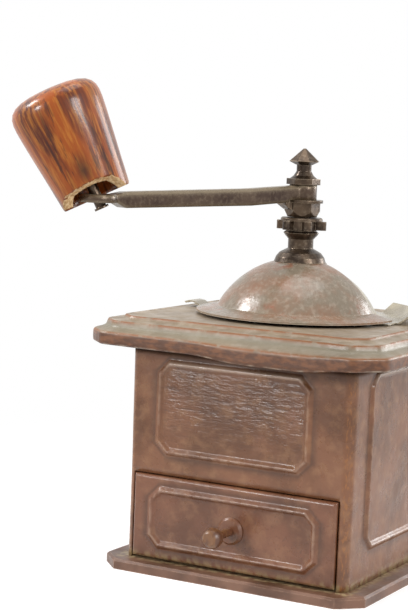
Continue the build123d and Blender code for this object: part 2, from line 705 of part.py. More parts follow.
with BuildPart() as shutter:
    with BuildSketch(Plane.XZ):
        with BuildLine():
            ThreePointArc(
                (shutter_hole, on_sphere(shutter_hole, shutter_out)),
                (dome_mid, on_sphere(dome_mid, shutter_out)),
                (shutter_wall, shutter_foot_z),
            )
            Polyline(
                (shutter_wall, shutter_foot_z),
                (shutter_wall, shutter_high),
                (shutter_flange_radius, shutter_high),
                (shutter_flange_radius, shutter_low),
                (shutter_wall_in, shutter_low),
                (shutter_wall_in, shutter_wall_in_z),
            )
            ThreePointArc(
                (shutter_wall_in, shutter_wall_in_z),
                (dome_mid, on_sphere(dome_mid, shutter_in)),
                (shutter_hole, on_sphere(shutter_hole, shutter_in)),
            )
            Line(
                (shutter_hole, on_sphere(shutter_hole, shutter_in)),
                (shutter_hole, on_sphere(shutter_hole, shutter_out)),
            )
        make_face()
    revolve(axis=Axis.Z)
    with BuildSketch(Plane.XY.offset(dome_centre_z)):
        with Locations((0, SHUTTER_EDGE_Y)):
            Rectangle(3 * DOME_RADIUS, 2 * DOME_RADIUS, align=(Align.CENTER, Align.MAX))
        Circle(shutter_crown, mode=Mode.SUBTRACT)
    extrude(amount=2 * DOME_RADIUS, mode=Mode.SUBTRACT)
    with BuildSketch(radial_plane(TAB_ANGLE)):
        with BuildLine():
            Polyline(
                (tab_root, shutter_low),
                (tab_bend, shutter_low),
                (tab_crest - TAB_CURL, shutter_low + TAB_CURL - THIN),
                (tab_crest, shutter_low + TAB_CURL - THIN / 2),
                (tab_reach, shutter_low + TAB_CURL / 2),
                (tab_reach + THIN, shutter_low + TAB_CURL / 2 + THIN),
                (tab_crest, shutter_low + TAB_CURL + THIN / 2),
                (tab_crest - TAB_CURL - THIN / 2, shutter_low + TAB_CURL),
                (tab_bend - THIN / 2, shutter_high),
                (tab_root, shutter_high),
                close=True,
            )
        make_face()
    extrude(amount=TAB_WIDTH / 2, both=True)
    with BuildSketch(radial_plane(LEAF_START)):
        with BuildLine():
            Polyline(
                (tab_root, shutter_low),
                (leaf_bend, shutter_low),
                (leaf_reach, shutter_low + LEAF_RISE),
                (leaf_reach - THIN, shutter_low + LEAF_RISE + THIN / 2),
                (leaf_bend - THIN / 2, shutter_high),
                (tab_root, shutter_high),
                close=True,
            )
        make_face()
    revolve(axis=Axis.Z, revolution_arc=LEAF_SWEEP)
save(shutter, "shutter")

# ---- bearing bush: turned piece that clamps the dome to the yoke and carries the spindle ----

bore = SPINDLE_RADIUS + FIT
foot_seat = on_sphere(bush_foot, DOME_RADIUS)
stem_seat = on_sphere(stem_radius, DOME_RADIUS)
bush_mid = (bush_foot + stem_radius) / 2
bush_ring = stem_radius + BUSH_RING_RUN
bush_nut_radius = stem_radius + BUSH_NUT_RUN
bush_nut_top = yoke_centre_z + sqrt(yoke_in**2 - bush_nut_radius**2)
bush_low = bush_nut_top - BUSH_NUT_HEIGHT - STEM_TAIL
with BuildPart() as bearing_bush:
    with BuildSketch(Plane.XZ):
        with BuildLine():
            Polyline(
                (stem_radius, stem_seat),
                (stem_radius, bush_low),
                (bore, bush_low),
                (bore, bush_top),
                (bush_ring - BUSH_EDGE, bush_top),
                (bush_ring, bush_top - BUSH_EDGE),
                (bush_ring - BUSH_EDGE, (bush_top + bush_neck_top) / 2),
                (stem_radius, bush_neck_top),
                (stem_radius, dome_crown_z + BUSH_NECK_RISE),
                (stem_radius + BUSH_SHOULDER_RUN, dome_crown_z + BUSH_SHOULDER_RISE),
                (stem_radius + BUSH_WAIST_RUN, dome_crown_z + BUSH_WAIST_RISE),
                (bush_foot, foot_seat),
            )
            ThreePointArc(
                (bush_foot, foot_seat),
                (bush_mid, on_sphere(bush_mid, DOME_RADIUS)),
                (stem_radius, stem_seat),
            )
        make_face()
    revolve(axis=Axis.Z)
save(bearing_bush, "bearing_bush")

with BuildPart() as bush_nut:
    with BuildSketch(Plane.XY.offset(bush_nut_top)):
        Circle(bush_nut_radius)
        Circle(stem_radius, mode=Mode.SUBTRACT)
    extrude(amount=-BUSH_NUT_HEIGHT)
save(bush_nut, "bush_nut")

# ---- spindle: journal, keyed shank, square for the crank, threaded end ----

journal_top = boss_top + JOURNAL_RUN
key_flat = SPINDLE_RADIUS - KEY_DEPTH
with BuildPart() as spindle:
    with BuildSketch(Plane.XY.offset(boss_low + JOURNAL_TAIL)):
        Circle(JOURNAL_RADIUS)
    extrude(amount=journal_top - boss_low - JOURNAL_TAIL)
    with BuildSketch(Plane.XY.offset(journal_top)):
        Circle(SPINDLE_RADIUS)
    extrude(amount=hex_top - journal_top)
    with BuildSketch(Plane.XY.offset(bush_top - KEY_SINK)):
        with Locations((key_flat, 0)):
            Rectangle(SPINDLE_RADIUS, 3 * SPINDLE_RADIUS, align=(Align.MIN, Align.CENTER))
    extrude(amount=KEY_SINK + KEY_RISE, mode=Mode.SUBTRACT)
    with BuildSketch(Plane.XY.offset(hex_top)):
        Rectangle(SQUARE, SQUARE, rotation=CRANK_ANGLE)
    extrude(amount=hub_top - hex_top)
    with BuildSketch(Plane.XY.offset(hub_top)):
        Circle(FINIAL_THREAD)
    extrude(amount=spindle_top - hub_top)
save(spindle, "spindle")

# ---- cone burr: toothed cone turning inside the ring burr ----

rest_gap = BURR_FINEST_GAP + LIFT * slope
cone_low = burr_low - CONE_LIP
cone_high = bowl_floor_z + CONE_LIP
cone_wide = throat_low - rest_gap + CONE_LIP * slope
cone_narrow = burr_throat - rest_gap - CONE_LIP * slope
with BuildPart() as cone_burr:
    with BuildSketch(Plane.XZ):
        with BuildLine():
            Polyline(
                (SPINDLE_RADIUS, cone_low),
                (cone_wide, cone_low),
                (cone_narrow, cone_high),
                (SPINDLE_RADIUS, cone_high),
                close=True,
            )
        make_face()
    revolve(axis=Axis.Z)
    with BuildSketch(Plane.XZ):
        with BuildLine():
            Polyline(
                (cone_wide - TOOTH_DEPTH, cone_low),
                (cone_wide + TOOTH_DEPTH, cone_low),
                (cone_wide + TOOTH_DEPTH, cone_high),
                (cone_narrow - TOOTH_DEPTH, cone_high),
                close=True,
            )
        make_face()
    cone_tooth = extrude(amount=TOOTH_DEPTH / 2, both=True, mode=Mode.PRIVATE)
    with PolarLocations(0, CONE_TEETH):
        add(cone_tooth, mode=Mode.SUBTRACT)
save(cone_burr, "cone_burr")

with BuildPart() as burr_nut:
    with BuildSketch(Plane.XY.offset(cone_low)):
        RegularPolygon(BURR_NUT_AF / 2, 6, major_radius=False)
        Circle(SPINDLE_RADIUS, mode=Mode.SUBTRACT)
    extrude(amount=-BURR_NUT_HEIGHT)
save(burr_nut, "burr_nut")

# ---- adjusting stack on the bush: keyed washer, lugged nut, lock nut, tab washer ----

with BuildPart() as thrust_washer:
    with BuildSketch(Plane.XY.offset(washer_low)):
        Circle(SPINDLE_RADIUS + WASHER_WALL)
        Circle(bore, mode=Mode.SUBTRACT)
        with Locations((key_flat + FIT, 0)):
            Rectangle(KEY_DEPTH + FIT, 2 * SPINDLE_RADIUS, align=(Align.MIN, Align.CENTER))
    extrude(amount=WASHER_THICK)
save(thrust_washer, "thrust_washer")

lug_centre = nut_barrel + LUG_RUN - LUG_WIDTH / 2
with BuildPart() as adjusting_nut:
    with BuildSketch(Plane.XY.offset(nut_low)):
        Circle(nut_barrel)
        with PolarLocations(lug_centre, LUG_COUNT, start_angle=LUG_ANGLE):
            Circle(LUG_WIDTH / 2)
        with PolarLocations(lug_centre / 2, LUG_COUNT, start_angle=LUG_ANGLE):
            Rectangle(lug_centre, LUG_WIDTH)
        Circle(bore, mode=Mode.SUBTRACT)
    extrude(amount=NUT_BARREL_HEIGHT)
    with BuildSketch(Plane.XY.offset(nut_flange_low)):
        Circle(nut_barrel + NUT_FLANGE_RUN)
        Circle(bore, mode=Mode.SUBTRACT)
    extrude(amount=NUT_FLANGE_THICK)
    chamfer(adjusting_nut.faces().sort_by(Axis.Z)[-1].outer_wire().edges(), length=NUT_BEVEL)
save(adjusting_nut, "adjusting_nut")

with BuildPart() as lock_nut:
    with BuildSketch(Plane.XY.offset(hex_low)):
        RegularPolygon(HEX_CORNER, 6, rotation=HEX_ANGLE + 30)
    extrude(amount=HEX_HEIGHT)
    with BuildSketch(Plane.XZ):
        with BuildLine():
            Polyline(
                (0, hex_low),
                (HEX_CORNER - HEX_BEVEL, hex_low),
                (HEX_CORNER, hex_low + 2 * HEX_BEVEL),
                (HEX_CORNER, hex_top),
                (0, hex_top),
                close=True,
            )
        make_face()
    revolve(axis=Axis.Z, mode=Mode.INTERSECT)
    with BuildSketch(Plane.XY.offset(hex_low)):
        Circle(SPINDLE_RADIUS)
    extrude(amount=HEX_HEIGHT, mode=Mode.SUBTRACT)
save(lock_nut, "lock_nut")

hex_flat = HEX_CORNER * cos(radians(30))
with BuildPart() as tab_washer:
    with BuildSketch(Plane.XY.offset(hex_top)):
        Circle(TAB_WASHER_RADIUS)
    extrude(amount=TAB_WASHER_THICK)
    with BuildSketch(radial_plane(HEX_ANGLE - 60)):
        with BuildLine():
            Polyline(
                (hex_flat, hex_top),
                (hex_flat, hex_top - TAB_WASHER_DROP),
                (hex_flat + SHEET, hex_top - TAB_WASHER_DROP),
                (TAB_WASHER_RADIUS + TAB_WASHER_TIP_RUN, hex_top - TAB_WASHER_TIP_DROP),
                (TAB_WASHER_RADIUS, tab_washer_top),
                (hex_flat, tab_washer_top),
                close=True,
            )
        make_face()
    extrude(amount=TAB_WASHER_WING / 2, both=True)
    with BuildSketch(Plane.XY.offset(hex_top)):
        Rectangle(SQUARE, SQUARE, rotation=CRANK_ANGLE)
    extrude(amount=TAB_WASHER_THICK, mode=Mode.SUBTRACT)
save(tab_washer, "tab_washer")

# ---- crank arm: forged flat bar with a hub boss and a thin pad for the handle ----

with BuildPart() as crank_arm:
    with BuildSketch(crank_plane):
        with BuildLine():
            Polyline(
                (0, tab_washer_top),
                (arm_root, tab_washer_top),
                (arm_root + SHEET, arm_root_top - ARM_ROOT_DEPTH),
                (ARM_BEND, arm_bend_top - ARM_BEND_DEPTH),
                (arm_step, arm_step_top - ARM_STEP_DEPTH),
                (pad_neck, pad_low),
                (CRANK_RADIUS, pad_low),
                (CRANK_RADIUS, pad_top),
                (pad_neck, pad_top),
                (arm_step, arm_step_top),
                (ARM_BEND, arm_bend_top),
                (HUB_RADIUS, arm_root_top),
                (0, arm_root_top),
                close=True,
            )
        make_face()
    extrude(amount=ARM_WIDTH / 2, both=True)
    upper_edges = crank_arm.edges().filter_by_position(Axis.Z, arm_step_top - ARM_EDGE, arm_root_top)
    chamfer(upper_edges.filter_by(lambda edge: edge.length > ARM_BEND / 2), length=ARM_EDGE)
    with BuildSketch(Plane.XY.offset(tab_washer_top)):
        Circle(HUB_RADIUS)
    extrude(amount=HUB_HEIGHT)
    with BuildSketch(Plane.XY.offset(pad_low)):
        with Locations(knob_plane.origin):
            Circle(PAD_RADIUS)
    extrude(amount=PAD_THICK)
    with BuildSketch(Plane.XY.offset(tab_washer_top)):
        Rectangle(SQUARE, SQUARE, rotation=CRANK_ANGLE)
    extrude(amount=HUB_HEIGHT, mode=Mode.SUBTRACT)
    with BuildSketch(knob_plane.offset(-PAD_RADIUS)):
        Circle(PIN_RADIUS)
    extrude(amount=2 * PAD_RADIUS, mode=Mode.SUBTRACT)
save(crank_arm, "crank_arm")

# ---- finial nut: six-sided foot, waisted neck, eight-sided pointed cap ----

with BuildPart() as finial_nut:
    with BuildSketch(Plane.XY.offset(hub_top)):
        RegularPolygon(FINIAL_FLANGE, 6, rotation=FINIAL_TURN)
    extrude(amount=FINIAL_FLANGE_THICK)
    with BuildSketch(Plane.XZ):
        with BuildLine():
            Polyline(
                (0, finial_flange_top),
                (FINIAL_FLARE, finial_flange_top),
                (FINIAL_NECK + FINIAL_WAIST_RUN, finial_flange_top + FINIAL_WAIST_RISE),
                (FINIAL_NECK, finial_neck_low),
                (FINIAL_NECK, finial_neck_top),
                (0, finial_neck_top),
                close=True,
            )
        make_face()
    revolve(axis=Axis.Z)
    for low, high in (
        ((FINIAL_NECK + THIN, finial_neck_top), (FINIAL_RIM, finial_rim_z)),
        ((FINIAL_RIM, finial_rim_z), (FINIAL_POINT, finial_tip)),
    ):
        for radius, z in (low, high):
            with BuildSketch(Plane.XY.offset(z)):
                RegularPolygon(radius, FINIAL_SIDES)
        loft(ruled=True)
    with BuildSketch(Plane.XY.offset(hub_top)):
        Circle(FINIAL_THREAD)
    extrude(amount=spindle_top - hub_top, mode=Mode.SUBTRACT)
save(finial_nut, "finial_nut")

# ---- handle: turned wooden knob on a headed pin, its lower wall broken away on one side ----

pin_seat = KNOB_LENGTH - PIN_SINK - PIN_HEAD_HEIGHT
with BuildPart() as handle_pin:
    with BuildSketch(knob_plane.offset(-PIN_TAIL)):
        Circle(PIN_RADIUS)
    extrude(amount=PIN_TAIL + pin_seat)
    with BuildSketch(knob_plane.offset(pin_seat)):
        Circle(PIN_HEAD)
    extrude(amount=PIN_HEAD_HEIGHT)
    with BuildSketch(knob_plane.offset(-PIN_TAIL)):
        Circle(PIN_CLINCH)
    extrude(amount=-SHEET)
save(handle_pin, "handle_pin")

chip_way = Vector(cos(radians(HEX_ANGLE)), sin(radians(HEX_ANGLE)), 0)
chip_way = chip_way - Vector(*knob_axis) * chip_way.dot(Vector(*knob_axis))
chip_plane = Plane(
    origin=knob_plane.origin,
    x_dir=Vector(*knob_axis).cross(chip_way),
    z_dir=chip_way,
)
with BuildPart() as wooden_knob:
    with BuildSketch(Plane.XZ):
        with BuildLine():
            Line((0, 0), (KNOB_LOW_RADIUS - KNOB_EDGE, 0))
            Line((KNOB_LOW_RADIUS - KNOB_EDGE, 0), (KNOB_LOW_RADIUS, KNOB_EDGE))
            Spline(
                (KNOB_LOW_RADIUS, KNOB_EDGE),
                (KNOB_MIDDLE_RADIUS, KNOB_WIDE_AT / 2),
                (KNOB_RADIUS, KNOB_WIDE_AT),
            )
            Spline(
                (KNOB_RADIUS, KNOB_WIDE_AT),
                (KNOB_SHOULDER_RADIUS, KNOB_LENGTH - KNOB_SHOULDER_DROP),
                (0, KNOB_LENGTH),
                tangents=((0, 1), (-1, 0)),
            )
            Line((0, KNOB_LENGTH), (0, 0))
        make_face()
    revolve(axis=Axis.Z)
    with BuildSketch():
        Circle(knob_hollow)
    extrude(amount=KNOB_HOLLOW_DEPTH, mode=Mode.SUBTRACT)
    with BuildSketch():
        Circle(PIN_RADIUS + 2 * FIT)
    extrude(amount=KNOB_LENGTH, mode=Mode.SUBTRACT)
    with BuildSketch(Plane.XY.offset(pin_seat - SLIDE)):
        Circle(PIN_HEAD + SLIDE)
    extrude(amount=KNOB_LENGTH, mode=Mode.SUBTRACT)
wooden_knob.part = knob_plane * wooden_knob.part
with BuildPart() as knob_chip:
    with BuildSketch(chip_plane.offset(knob_hollow - THIN)):
        with BuildLine():
            Polyline(
                (-KNOB_CHIP, -KNOB_CHIP_DEPTH),
                (KNOB_CHIP, -KNOB_CHIP_DEPTH),
                (0.8 * KNOB_CHIP, 0.5 * KNOB_CHIP_DEPTH),
                (0.3 * KNOB_CHIP, KNOB_CHIP_DEPTH),
                (-0.4 * KNOB_CHIP, 0.9 * KNOB_CHIP_DEPTH),
                (-0.9 * KNOB_CHIP, 0.4 * KNOB_CHIP_DEPTH),
                close=True,
            )
        make_face()
    extrude(amount=knob_hollow)
wooden_knob.part = wooden_knob.part - knob_chip.part
save(wooden_knob, "wooden_knob")

# ---- drawer: rolled-edge front, open tray, pull with its rosette and nut ----

drawer_plane = Plane(origin=(0, front_face, 0), x_dir=(1, 0, 0), z_dir=(0, -1, 0))
pull_hole = PULL_STEM + FIT
with BuildPart() as drawer_front:
    with BuildSketch(drawer_plane):
        with Locations((0, drawer_low)):
            Rectangle(2 * drawer_half, DRAWER_HEIGHT, align=(Align.CENTER, Align.MIN))
    extrude(amount=-DRAWER_EDGE)
    fillet(drawer_front.faces().sort_by(Axis.Y)[0].edges(), radius=DRAWER_BEND)
    with BuildSketch(drawer_plane.offset(-SHEET)):
        with Locations((0, drawer_low + SHEET)):
            Rectangle(
                2 * (drawer_half - SHEET),
                DRAWER_HEIGHT - 2 * SHEET,
                align=(Align.CENTER, Align.MIN),
            )
    extrude(amount=-DRAWER_EDGE, mode=Mode.SUBTRACT)
    with BuildSketch(drawer_plane):
        bead_ring(
            0,
            drawer_panel_half,
            drawer_low + DRAWER_PANEL_RISE,
            drawer_high - DRAWER_PANEL_DROP,
            DRAWER_BEAD_CORNER,
        )
    extrude(amount=BEAD_HEIGHT)
    chamfer(drawer_front.faces().sort_by(Axis.Y)[0].edges(), length=BEAD_BEVEL)
    with BuildSketch(drawer_plane):
        with Locations((0, pull_z)):
            Circle(pull_hole)
    extrude(amount=-SHEET, mode=Mode.SUBTRACT)
save(drawer_front, "drawer_front")

tray_low = drawer_low + SHEET + FIT
with BuildPart() as drawer_box:
    with BuildSketch(Plane(origin=(0, tray_face, tray_low), x_dir=(1, 0, 0), z_dir=(0, 0, 1))):
        Rectangle(2 * tray_half, tray_back - tray_face, align=(Align.CENTER, Align.MIN))
    extrude(amount=tray_high - tray_low)
    with BuildSketch(Plane(origin=(0, tray_face + THIN, tray_high), x_dir=(1, 0, 0), z_dir=(0, 0, 1))):
        Rectangle(2 * (tray_half - THIN), tray_back - tray_face - 2 * THIN, align=(Align.CENTER, Align.MIN))
    extrude(amount=-(tray_high - tray_low - THIN), mode=Mode.SUBTRACT)
    with BuildSketch(drawer_plane.offset(-SHEET)):
        with Locations((0, pull_z)):
            Circle(pull_hole)
    extrude(amount=-THIN, mode=Mode.SUBTRACT)
save(drawer_box, "drawer_box")

pull_plane = Plane(origin=(0, front_face, pull_z), x_dir=(1, 0, 0), z_dir=(0, -1, 0))
with BuildPart() as knob_rosette:
    with BuildSketch(pull_plane):
        Circle(ROSETTE_RADIUS)
    extrude(amount=ROSETTE_THICK)
    chamfer(knob_rosette.faces().sort_by(Axis.Y)[0].edges(), length=ROSETTE_CROWN)
    with BuildSketch(pull_plane):
        Circle(PULL_STEM)
    extrude(amount=ROSETTE_THICK, mode=Mode.SUBTRACT)
save(knob_rosette, "knob_rosette")

pull_end = SHEET + THIN + PULL_NUT_HEIGHT + FIT
with BuildPart() as drawer_knob:
    with Locations(pull_plane.offset(PULL_REACH).location):
        Sphere(PULL_BALL)
    with BuildSketch(pull_plane.offset(PULL_REACH + PULL_FLAT)):
        Circle(PULL_BALL)
    extrude(amount=PULL_BALL, mode=Mode.SUBTRACT)
    with BuildSketch(pull_plane.offset(-pull_end)):
        Circle(PULL_STEM)
    extrude(amount=pull_end + PULL_REACH - PULL_BALL / 2)
save(drawer_knob, "drawer_knob")

with BuildPart() as knob_nut:
    with BuildSketch(pull_plane.offset(-SHEET - THIN)):
        RegularPolygon(PULL_NUT_RADIUS, 6)
        Circle(PULL_STEM, mode=Mode.SUBTRACT)
    extrude(amount=-PULL_NUT_HEIGHT)
save(knob_nut, "knob_nut")

# ---- drawer guides: folded strips welded to the case walls ----

ledge_top = tray_low - SLIDE
lip_in = tray_half + SLIDE


def drawer_guide(side):
    """A folded strip on one wall: side is 1 for the right and -1 for the left."""
    with BuildPart() as guide:
        with BuildSketch(Plane.XZ):
            with BuildLine():
                Polyline(
                    (side * (tray_half - GUIDE_LEDGE), ledge_top - SHEET),
                    (side * inner_wall, ledge_top - SHEET),
                    (side * inner_wall, ledge_top + GUIDE_HEIGHT),
                    (side * lip_in, ledge_top + GUIDE_HEIGHT),
                    (side * lip_in, ledge_top + GUIDE_HEIGHT - SHEET),
                    (side * (inner_wall - SHEET), ledge_top + GUIDE_HEIGHT - SHEET),
                    (side * (inner_wall - SHEET), ledge_top),
                    (side * (tray_half - GUIDE_LEDGE), ledge_top),
                    close=True,
                )
            make_face()
        extrude(amount=inner_wall - GUIDE_INSET, both=True)
    return guide


save(drawer_guide(-1), "drawer_guide_left")
save(drawer_guide(1), "drawer_guide_right")
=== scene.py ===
# %% [markdown]
# # A box mill for poppy seed
# The mill is a pressed steel box with a drawer, a stepped cover, a domed hopper and a crank.
# Its parts come in as a fixed frame, in metres, and this lesson dresses them: new surfaces where
# the real sheet is softer than a plain solid, and a finish for every piece.

# %% Load the frame
import bpy
import bmesh
import json
import numpy as np
from mathutils import Matrix, Vector


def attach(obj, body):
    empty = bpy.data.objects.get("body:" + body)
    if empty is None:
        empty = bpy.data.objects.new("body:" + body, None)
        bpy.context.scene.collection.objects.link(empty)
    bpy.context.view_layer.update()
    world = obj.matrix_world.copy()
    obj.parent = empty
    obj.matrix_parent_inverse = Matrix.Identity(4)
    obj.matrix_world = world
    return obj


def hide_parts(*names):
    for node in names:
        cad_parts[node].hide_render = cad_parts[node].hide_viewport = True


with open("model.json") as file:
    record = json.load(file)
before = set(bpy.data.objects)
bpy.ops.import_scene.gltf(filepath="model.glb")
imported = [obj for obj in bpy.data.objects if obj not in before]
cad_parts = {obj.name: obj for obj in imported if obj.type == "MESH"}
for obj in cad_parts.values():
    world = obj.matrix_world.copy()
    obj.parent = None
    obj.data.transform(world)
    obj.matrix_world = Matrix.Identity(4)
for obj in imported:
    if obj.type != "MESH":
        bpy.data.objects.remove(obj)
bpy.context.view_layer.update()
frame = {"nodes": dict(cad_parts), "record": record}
MM = 0.001

# %% [markdown]
# Colours are written as sRGB hex, as a paint chart gives them. The renderer adds up light, so it
# wants linear values, and one function turns one into the other.


# %% Colour
def linear(hex_colour):
    """sRGB hex to linear RGBA: v/12.92 below 0.04045, else ((v + 0.055) / 1.055) to the power 2.4."""
    v = np.array([int(hex_colour[i:i + 2], 16) for i in (0, 2, 4)]) / 255
    low = v / 12.92
    high = ((v + 0.055) / 1.055) ** 2.4
    return (*np.where(v <= 0.04045, low, high).tolist(), 1.0)


print("case brown in linear light:", [round(c, 3) for c in linear("774e35")])

# %% [markdown]
# A finish is a small graph of nodes. One helper adds a node, sets its values and makes its links,
# so that a graph reads as a list.


# %% Node helper
def add_node(tree, kind, values=None, links=None, **settings):
    """Adds a node of a kind; values go on its sockets, links join other nodes' outputs to them."""
    made = tree.nodes.new(kind)
    for name, value in settings.items():
        setattr(made, name, value)
    for socket, value in (values or {}).items():
        made.inputs[socket].default_value = value
    for socket, output in (links or {}).items():
        tree.links.new(output, made.inputs[socket])
    return made


def new_finish(name):
    """A material with only its output and a Principled shader."""
    material = bpy.data.materials.new(name)
    material.use_nodes = True
    tree = material.node_tree
    tree.nodes.clear()
    output = tree.nodes.new("ShaderNodeOutputMaterial")
    shader = tree.nodes.new("ShaderNodeBsdfPrincipled")
    tree.links.new(shader.outputs[0], output.inputs[0])
    return material, tree, shader


def object_noise(tree, size_mm, detail=4.0, stretch=(1, 1, 1), roughness=0.55, offset=(0, 0, 0)):
    """Noise on Object coordinates whose blobs are about size_mm across; stretch slows it along an axis."""
    where = add_node(tree, "ShaderNodeTexCoord")
    turned = add_node(
        tree, "ShaderNodeMapping",
        {"Scale": tuple(1 / s for s in stretch), "Location": offset},
        {"Vector": where.outputs["Object"]},
    )
    return add_node(
        tree, "ShaderNodeTexNoise",
        {"Scale": 1 / (size_mm * MM), "Detail": detail, "Roughness": roughness},
        {"Vector": turned.outputs[0]},
    ).outputs["Fac"]


def step_between(tree, value, low, high, low_to=0.0, high_to=1.0):
    """A smooth step: low_to below low, high_to above high."""
    return add_node(
        tree, "ShaderNodeMapRange",
        {"From Min": low, "From Max": high, "To Min": low_to, "To Max": high_to},
        {"Value": value}, interpolation_type="SMOOTHSTEP",
    ).outputs["Result"]


def mix_colour(tree, share, under, over):
    """Paints one colour over another by a share; each is a hex string or an output."""
    made = add_node(tree, "ShaderNodeMix", None, {0: share}, data_type="RGBA")
    for socket, colour in ((6, under), (7, over)):
        if isinstance(colour, str):
            made.inputs[socket].default_value = linear(colour)
        else:
            tree.links.new(colour, made.inputs[socket])
    return made.outputs[2]


def multiply(tree, a, b):
    """The product of two outputs, or of an output and a number."""
    made = add_node(tree, "ShaderNodeMath", operation="MULTIPLY")
    for socket, value in ((0, a), (1, b)):
        if isinstance(value, float):
            made.inputs[socket].default_value = value
        else:
            tree.links.new(value, made.inputs[socket])
    return made.outputs[0]


def edge_share(tree, width_mm, low=0.02, high=0.3):
    """How near an edge a point is: the true normal against one rounded over width_mm, as 1 - cos of
    their angle."""
    rounded = add_node(tree, "ShaderNodeBevel", {"Radius": width_mm * MM}, samples=6)
    true = add_node(tree, "ShaderNodeNewGeometry")
    dot = add_node(
        tree, "ShaderNodeVectorMath", None,
        {0: rounded.outputs[0], 1: true.outputs["Normal"]}, operation="DOT_PRODUCT",
    )
    turned = add_node(tree, "ShaderNodeMath", {0: 1.0}, {1: dot.outputs["Value"]}, operation="SUBTRACT")
    return step_between(tree, turned.outputs[0], low, high)


def bumps(tree, height, depth_mm, normal=None):
    """Turns a height from 0 to 1 into relief depth_mm deep."""
    links = {"Height": height}
    if normal is not None:
        links["Normal"] = normal
    return add_node(tree, "ShaderNodeBump", {"Strength": 1.0, "Distance": depth_mm * MM}, links).outputs[0]


def stored_share(tree, name):
    """A share that a mesh stores on its points, and 0 on a mesh that doesn't store it."""
    return add_node(tree, "ShaderNodeAttribute", attribute_name=name).outputs["Fac"]


def object_place(tree, axis):
    """One of the Object coordinates, in metres."""
    where = add_node(tree, "ShaderNodeTexCoord")
    return add_node(tree, "ShaderNodeSeparateXYZ", None, {0: where.outputs["Object"]}).outputs[axis]


def facing_up(tree):
    """The upward part of the surface's normal: 1 on a level top, 0 on a wall."""
    face = add_node(tree, "ShaderNodeNewGeometry")
    return add_node(tree, "ShaderNodeSeparateXYZ", None, {0: face.outputs["Normal"]}).outputs["Z"]


# %% [markdown]
# New pieces are grids of points: one direction goes round or along the piece, the other follows its
# section. A grid direction closes on itself where the piece does, so there is no gap. A grid that
# stays open is a sheet without thickness, and it gets its wall afterwards.


# %% Mesh helper
def grid_mesh(name, points_mm, close_rows=True, close_columns=True, skipped=None, shares=None, weld=False):
    """Joins a grid of points, shape (rows, columns, 3) in millimetres, into quads. Quads marked in
    skipped are left out, and each array in shares is stored as one number per point, for the finish
    to read."""
    rows, columns = points_mm.shape[:2]
    r = np.arange(rows if close_rows else rows - 1)[:, None]
    c = np.arange(columns if close_columns else columns - 1)[None, :]
    r2, c2 = (r + 1) % rows, (c + 1) % columns
    corners = [r * columns + c, r * columns + c2, r2 * columns + c2, r2 * columns + c]
    quads = np.stack(corners, -1).reshape(-1, 4)
    if skipped is not None:
        quads = quads[~skipped.ravel()]
    used, quads = np.unique(quads, return_inverse=True)
    mesh = bpy.data.meshes.new(name)
    mesh.from_pydata((points_mm.reshape(-1, 3)[used] * MM).tolist(), [], quads.reshape(-1, 4).tolist())
    for share_name, values in (shares or {}).items():
        layer = mesh.attributes.new(share_name, "FLOAT", "POINT")
        on_points = np.broadcast_to(values, (rows, columns)).ravel()[used]
        layer.data.foreach_set("value", on_points.astype(np.float32))
    shell = bmesh.new()
    shell.from_mesh(mesh)
    if weld:
        bmesh.ops.remove_doubles(shell, verts=shell.verts, dist=2e-6)
    if close_rows:
        bmesh.ops.recalc_face_normals(shell, faces=shell.faces)
    shell.to_mesh(mesh)
    shell.free()
    mesh.shade_smooth()
    piece = bpy.data.objects.new(name, mesh)
    bpy.context.scene.collection.objects.link(piece)
    print(name, "has", len(mesh.polygons), "faces")
    return piece


def thicken(piece, wall_mm):
    """Gives a sheet its wall, inwards from the drawn side."""
    wall = piece.modifiers.new("wall", "SOLIDIFY")
    wall.thickness = wall_mm * MM
    wall.offset = -1.0


def set_finish(piece, *materials):
    """Gives a piece its materials, in slots."""
    piece.data.materials.clear()
    for material in materials:
        piece.data.materials.append(material)


# %% [markdown]
# ## The pressed case
# The case is one sheet of steel, folded round and pressed with a raised frame on each side. A frame's
# section is a soft wave, which catches light along its top and gets dirt and painted shade along its
# foot, so it needs many lines of points where it runs and few elsewhere. The grid's lines are
# therefore close together near the frames only. A point's distance to the cut-cornered line decides
# how far out it lies.


# %% Frames pressed into sheet
sheet_wall = 0.8
bead_width = 3.5
bead_height = 1.2


def sheet_lines(start, stop, spans, coarse=2.4, fine=0.42):
    """Places from start to stop, with fine steps inside the spans and coarse steps between them."""
    marks = [start, *np.ravel(spans), stop]
    places = []
    for number, (a, b) in enumerate(zip(marks, marks[1:])):
        count = max(round((b - a) / (fine if number % 2 else coarse)), 1)
        places.append(np.linspace(a, b, count, endpoint=False))
    return np.append(np.concatenate(places), stop)


def pressed_frame(across, up, middle, half, low, high, corner=4.0):
    """Distance outside a cut-cornered rectangle, negative inside, and the frame's height share, which is the
    squared cosine of that distance over the bead's width."""
    dx = np.abs(across - middle)
    dz = np.abs(up - (low + high) / 2)
    tall = (high - low) / 2
    outside = np.maximum(np.maximum(dx - half, dz - tall), (dx + dz - half - tall + corner) / 2**0.5)
    return outside, np.cos(np.clip(outside / bead_width, -0.5, 0.5) * np.pi) ** 2


def frame_shares(outside, crest):
    """What the paint needs to know of a frame: its rubbed crest, its outer foot, where dirt and painted
    shade go, and its inside."""
    foot = np.exp(-(((outside - 0.62 * bead_width) / 0.55) ** 2))
    return {"crest": crest, "foot": foot, "inside": np.clip(-outside / 3.0, 0, 1)}


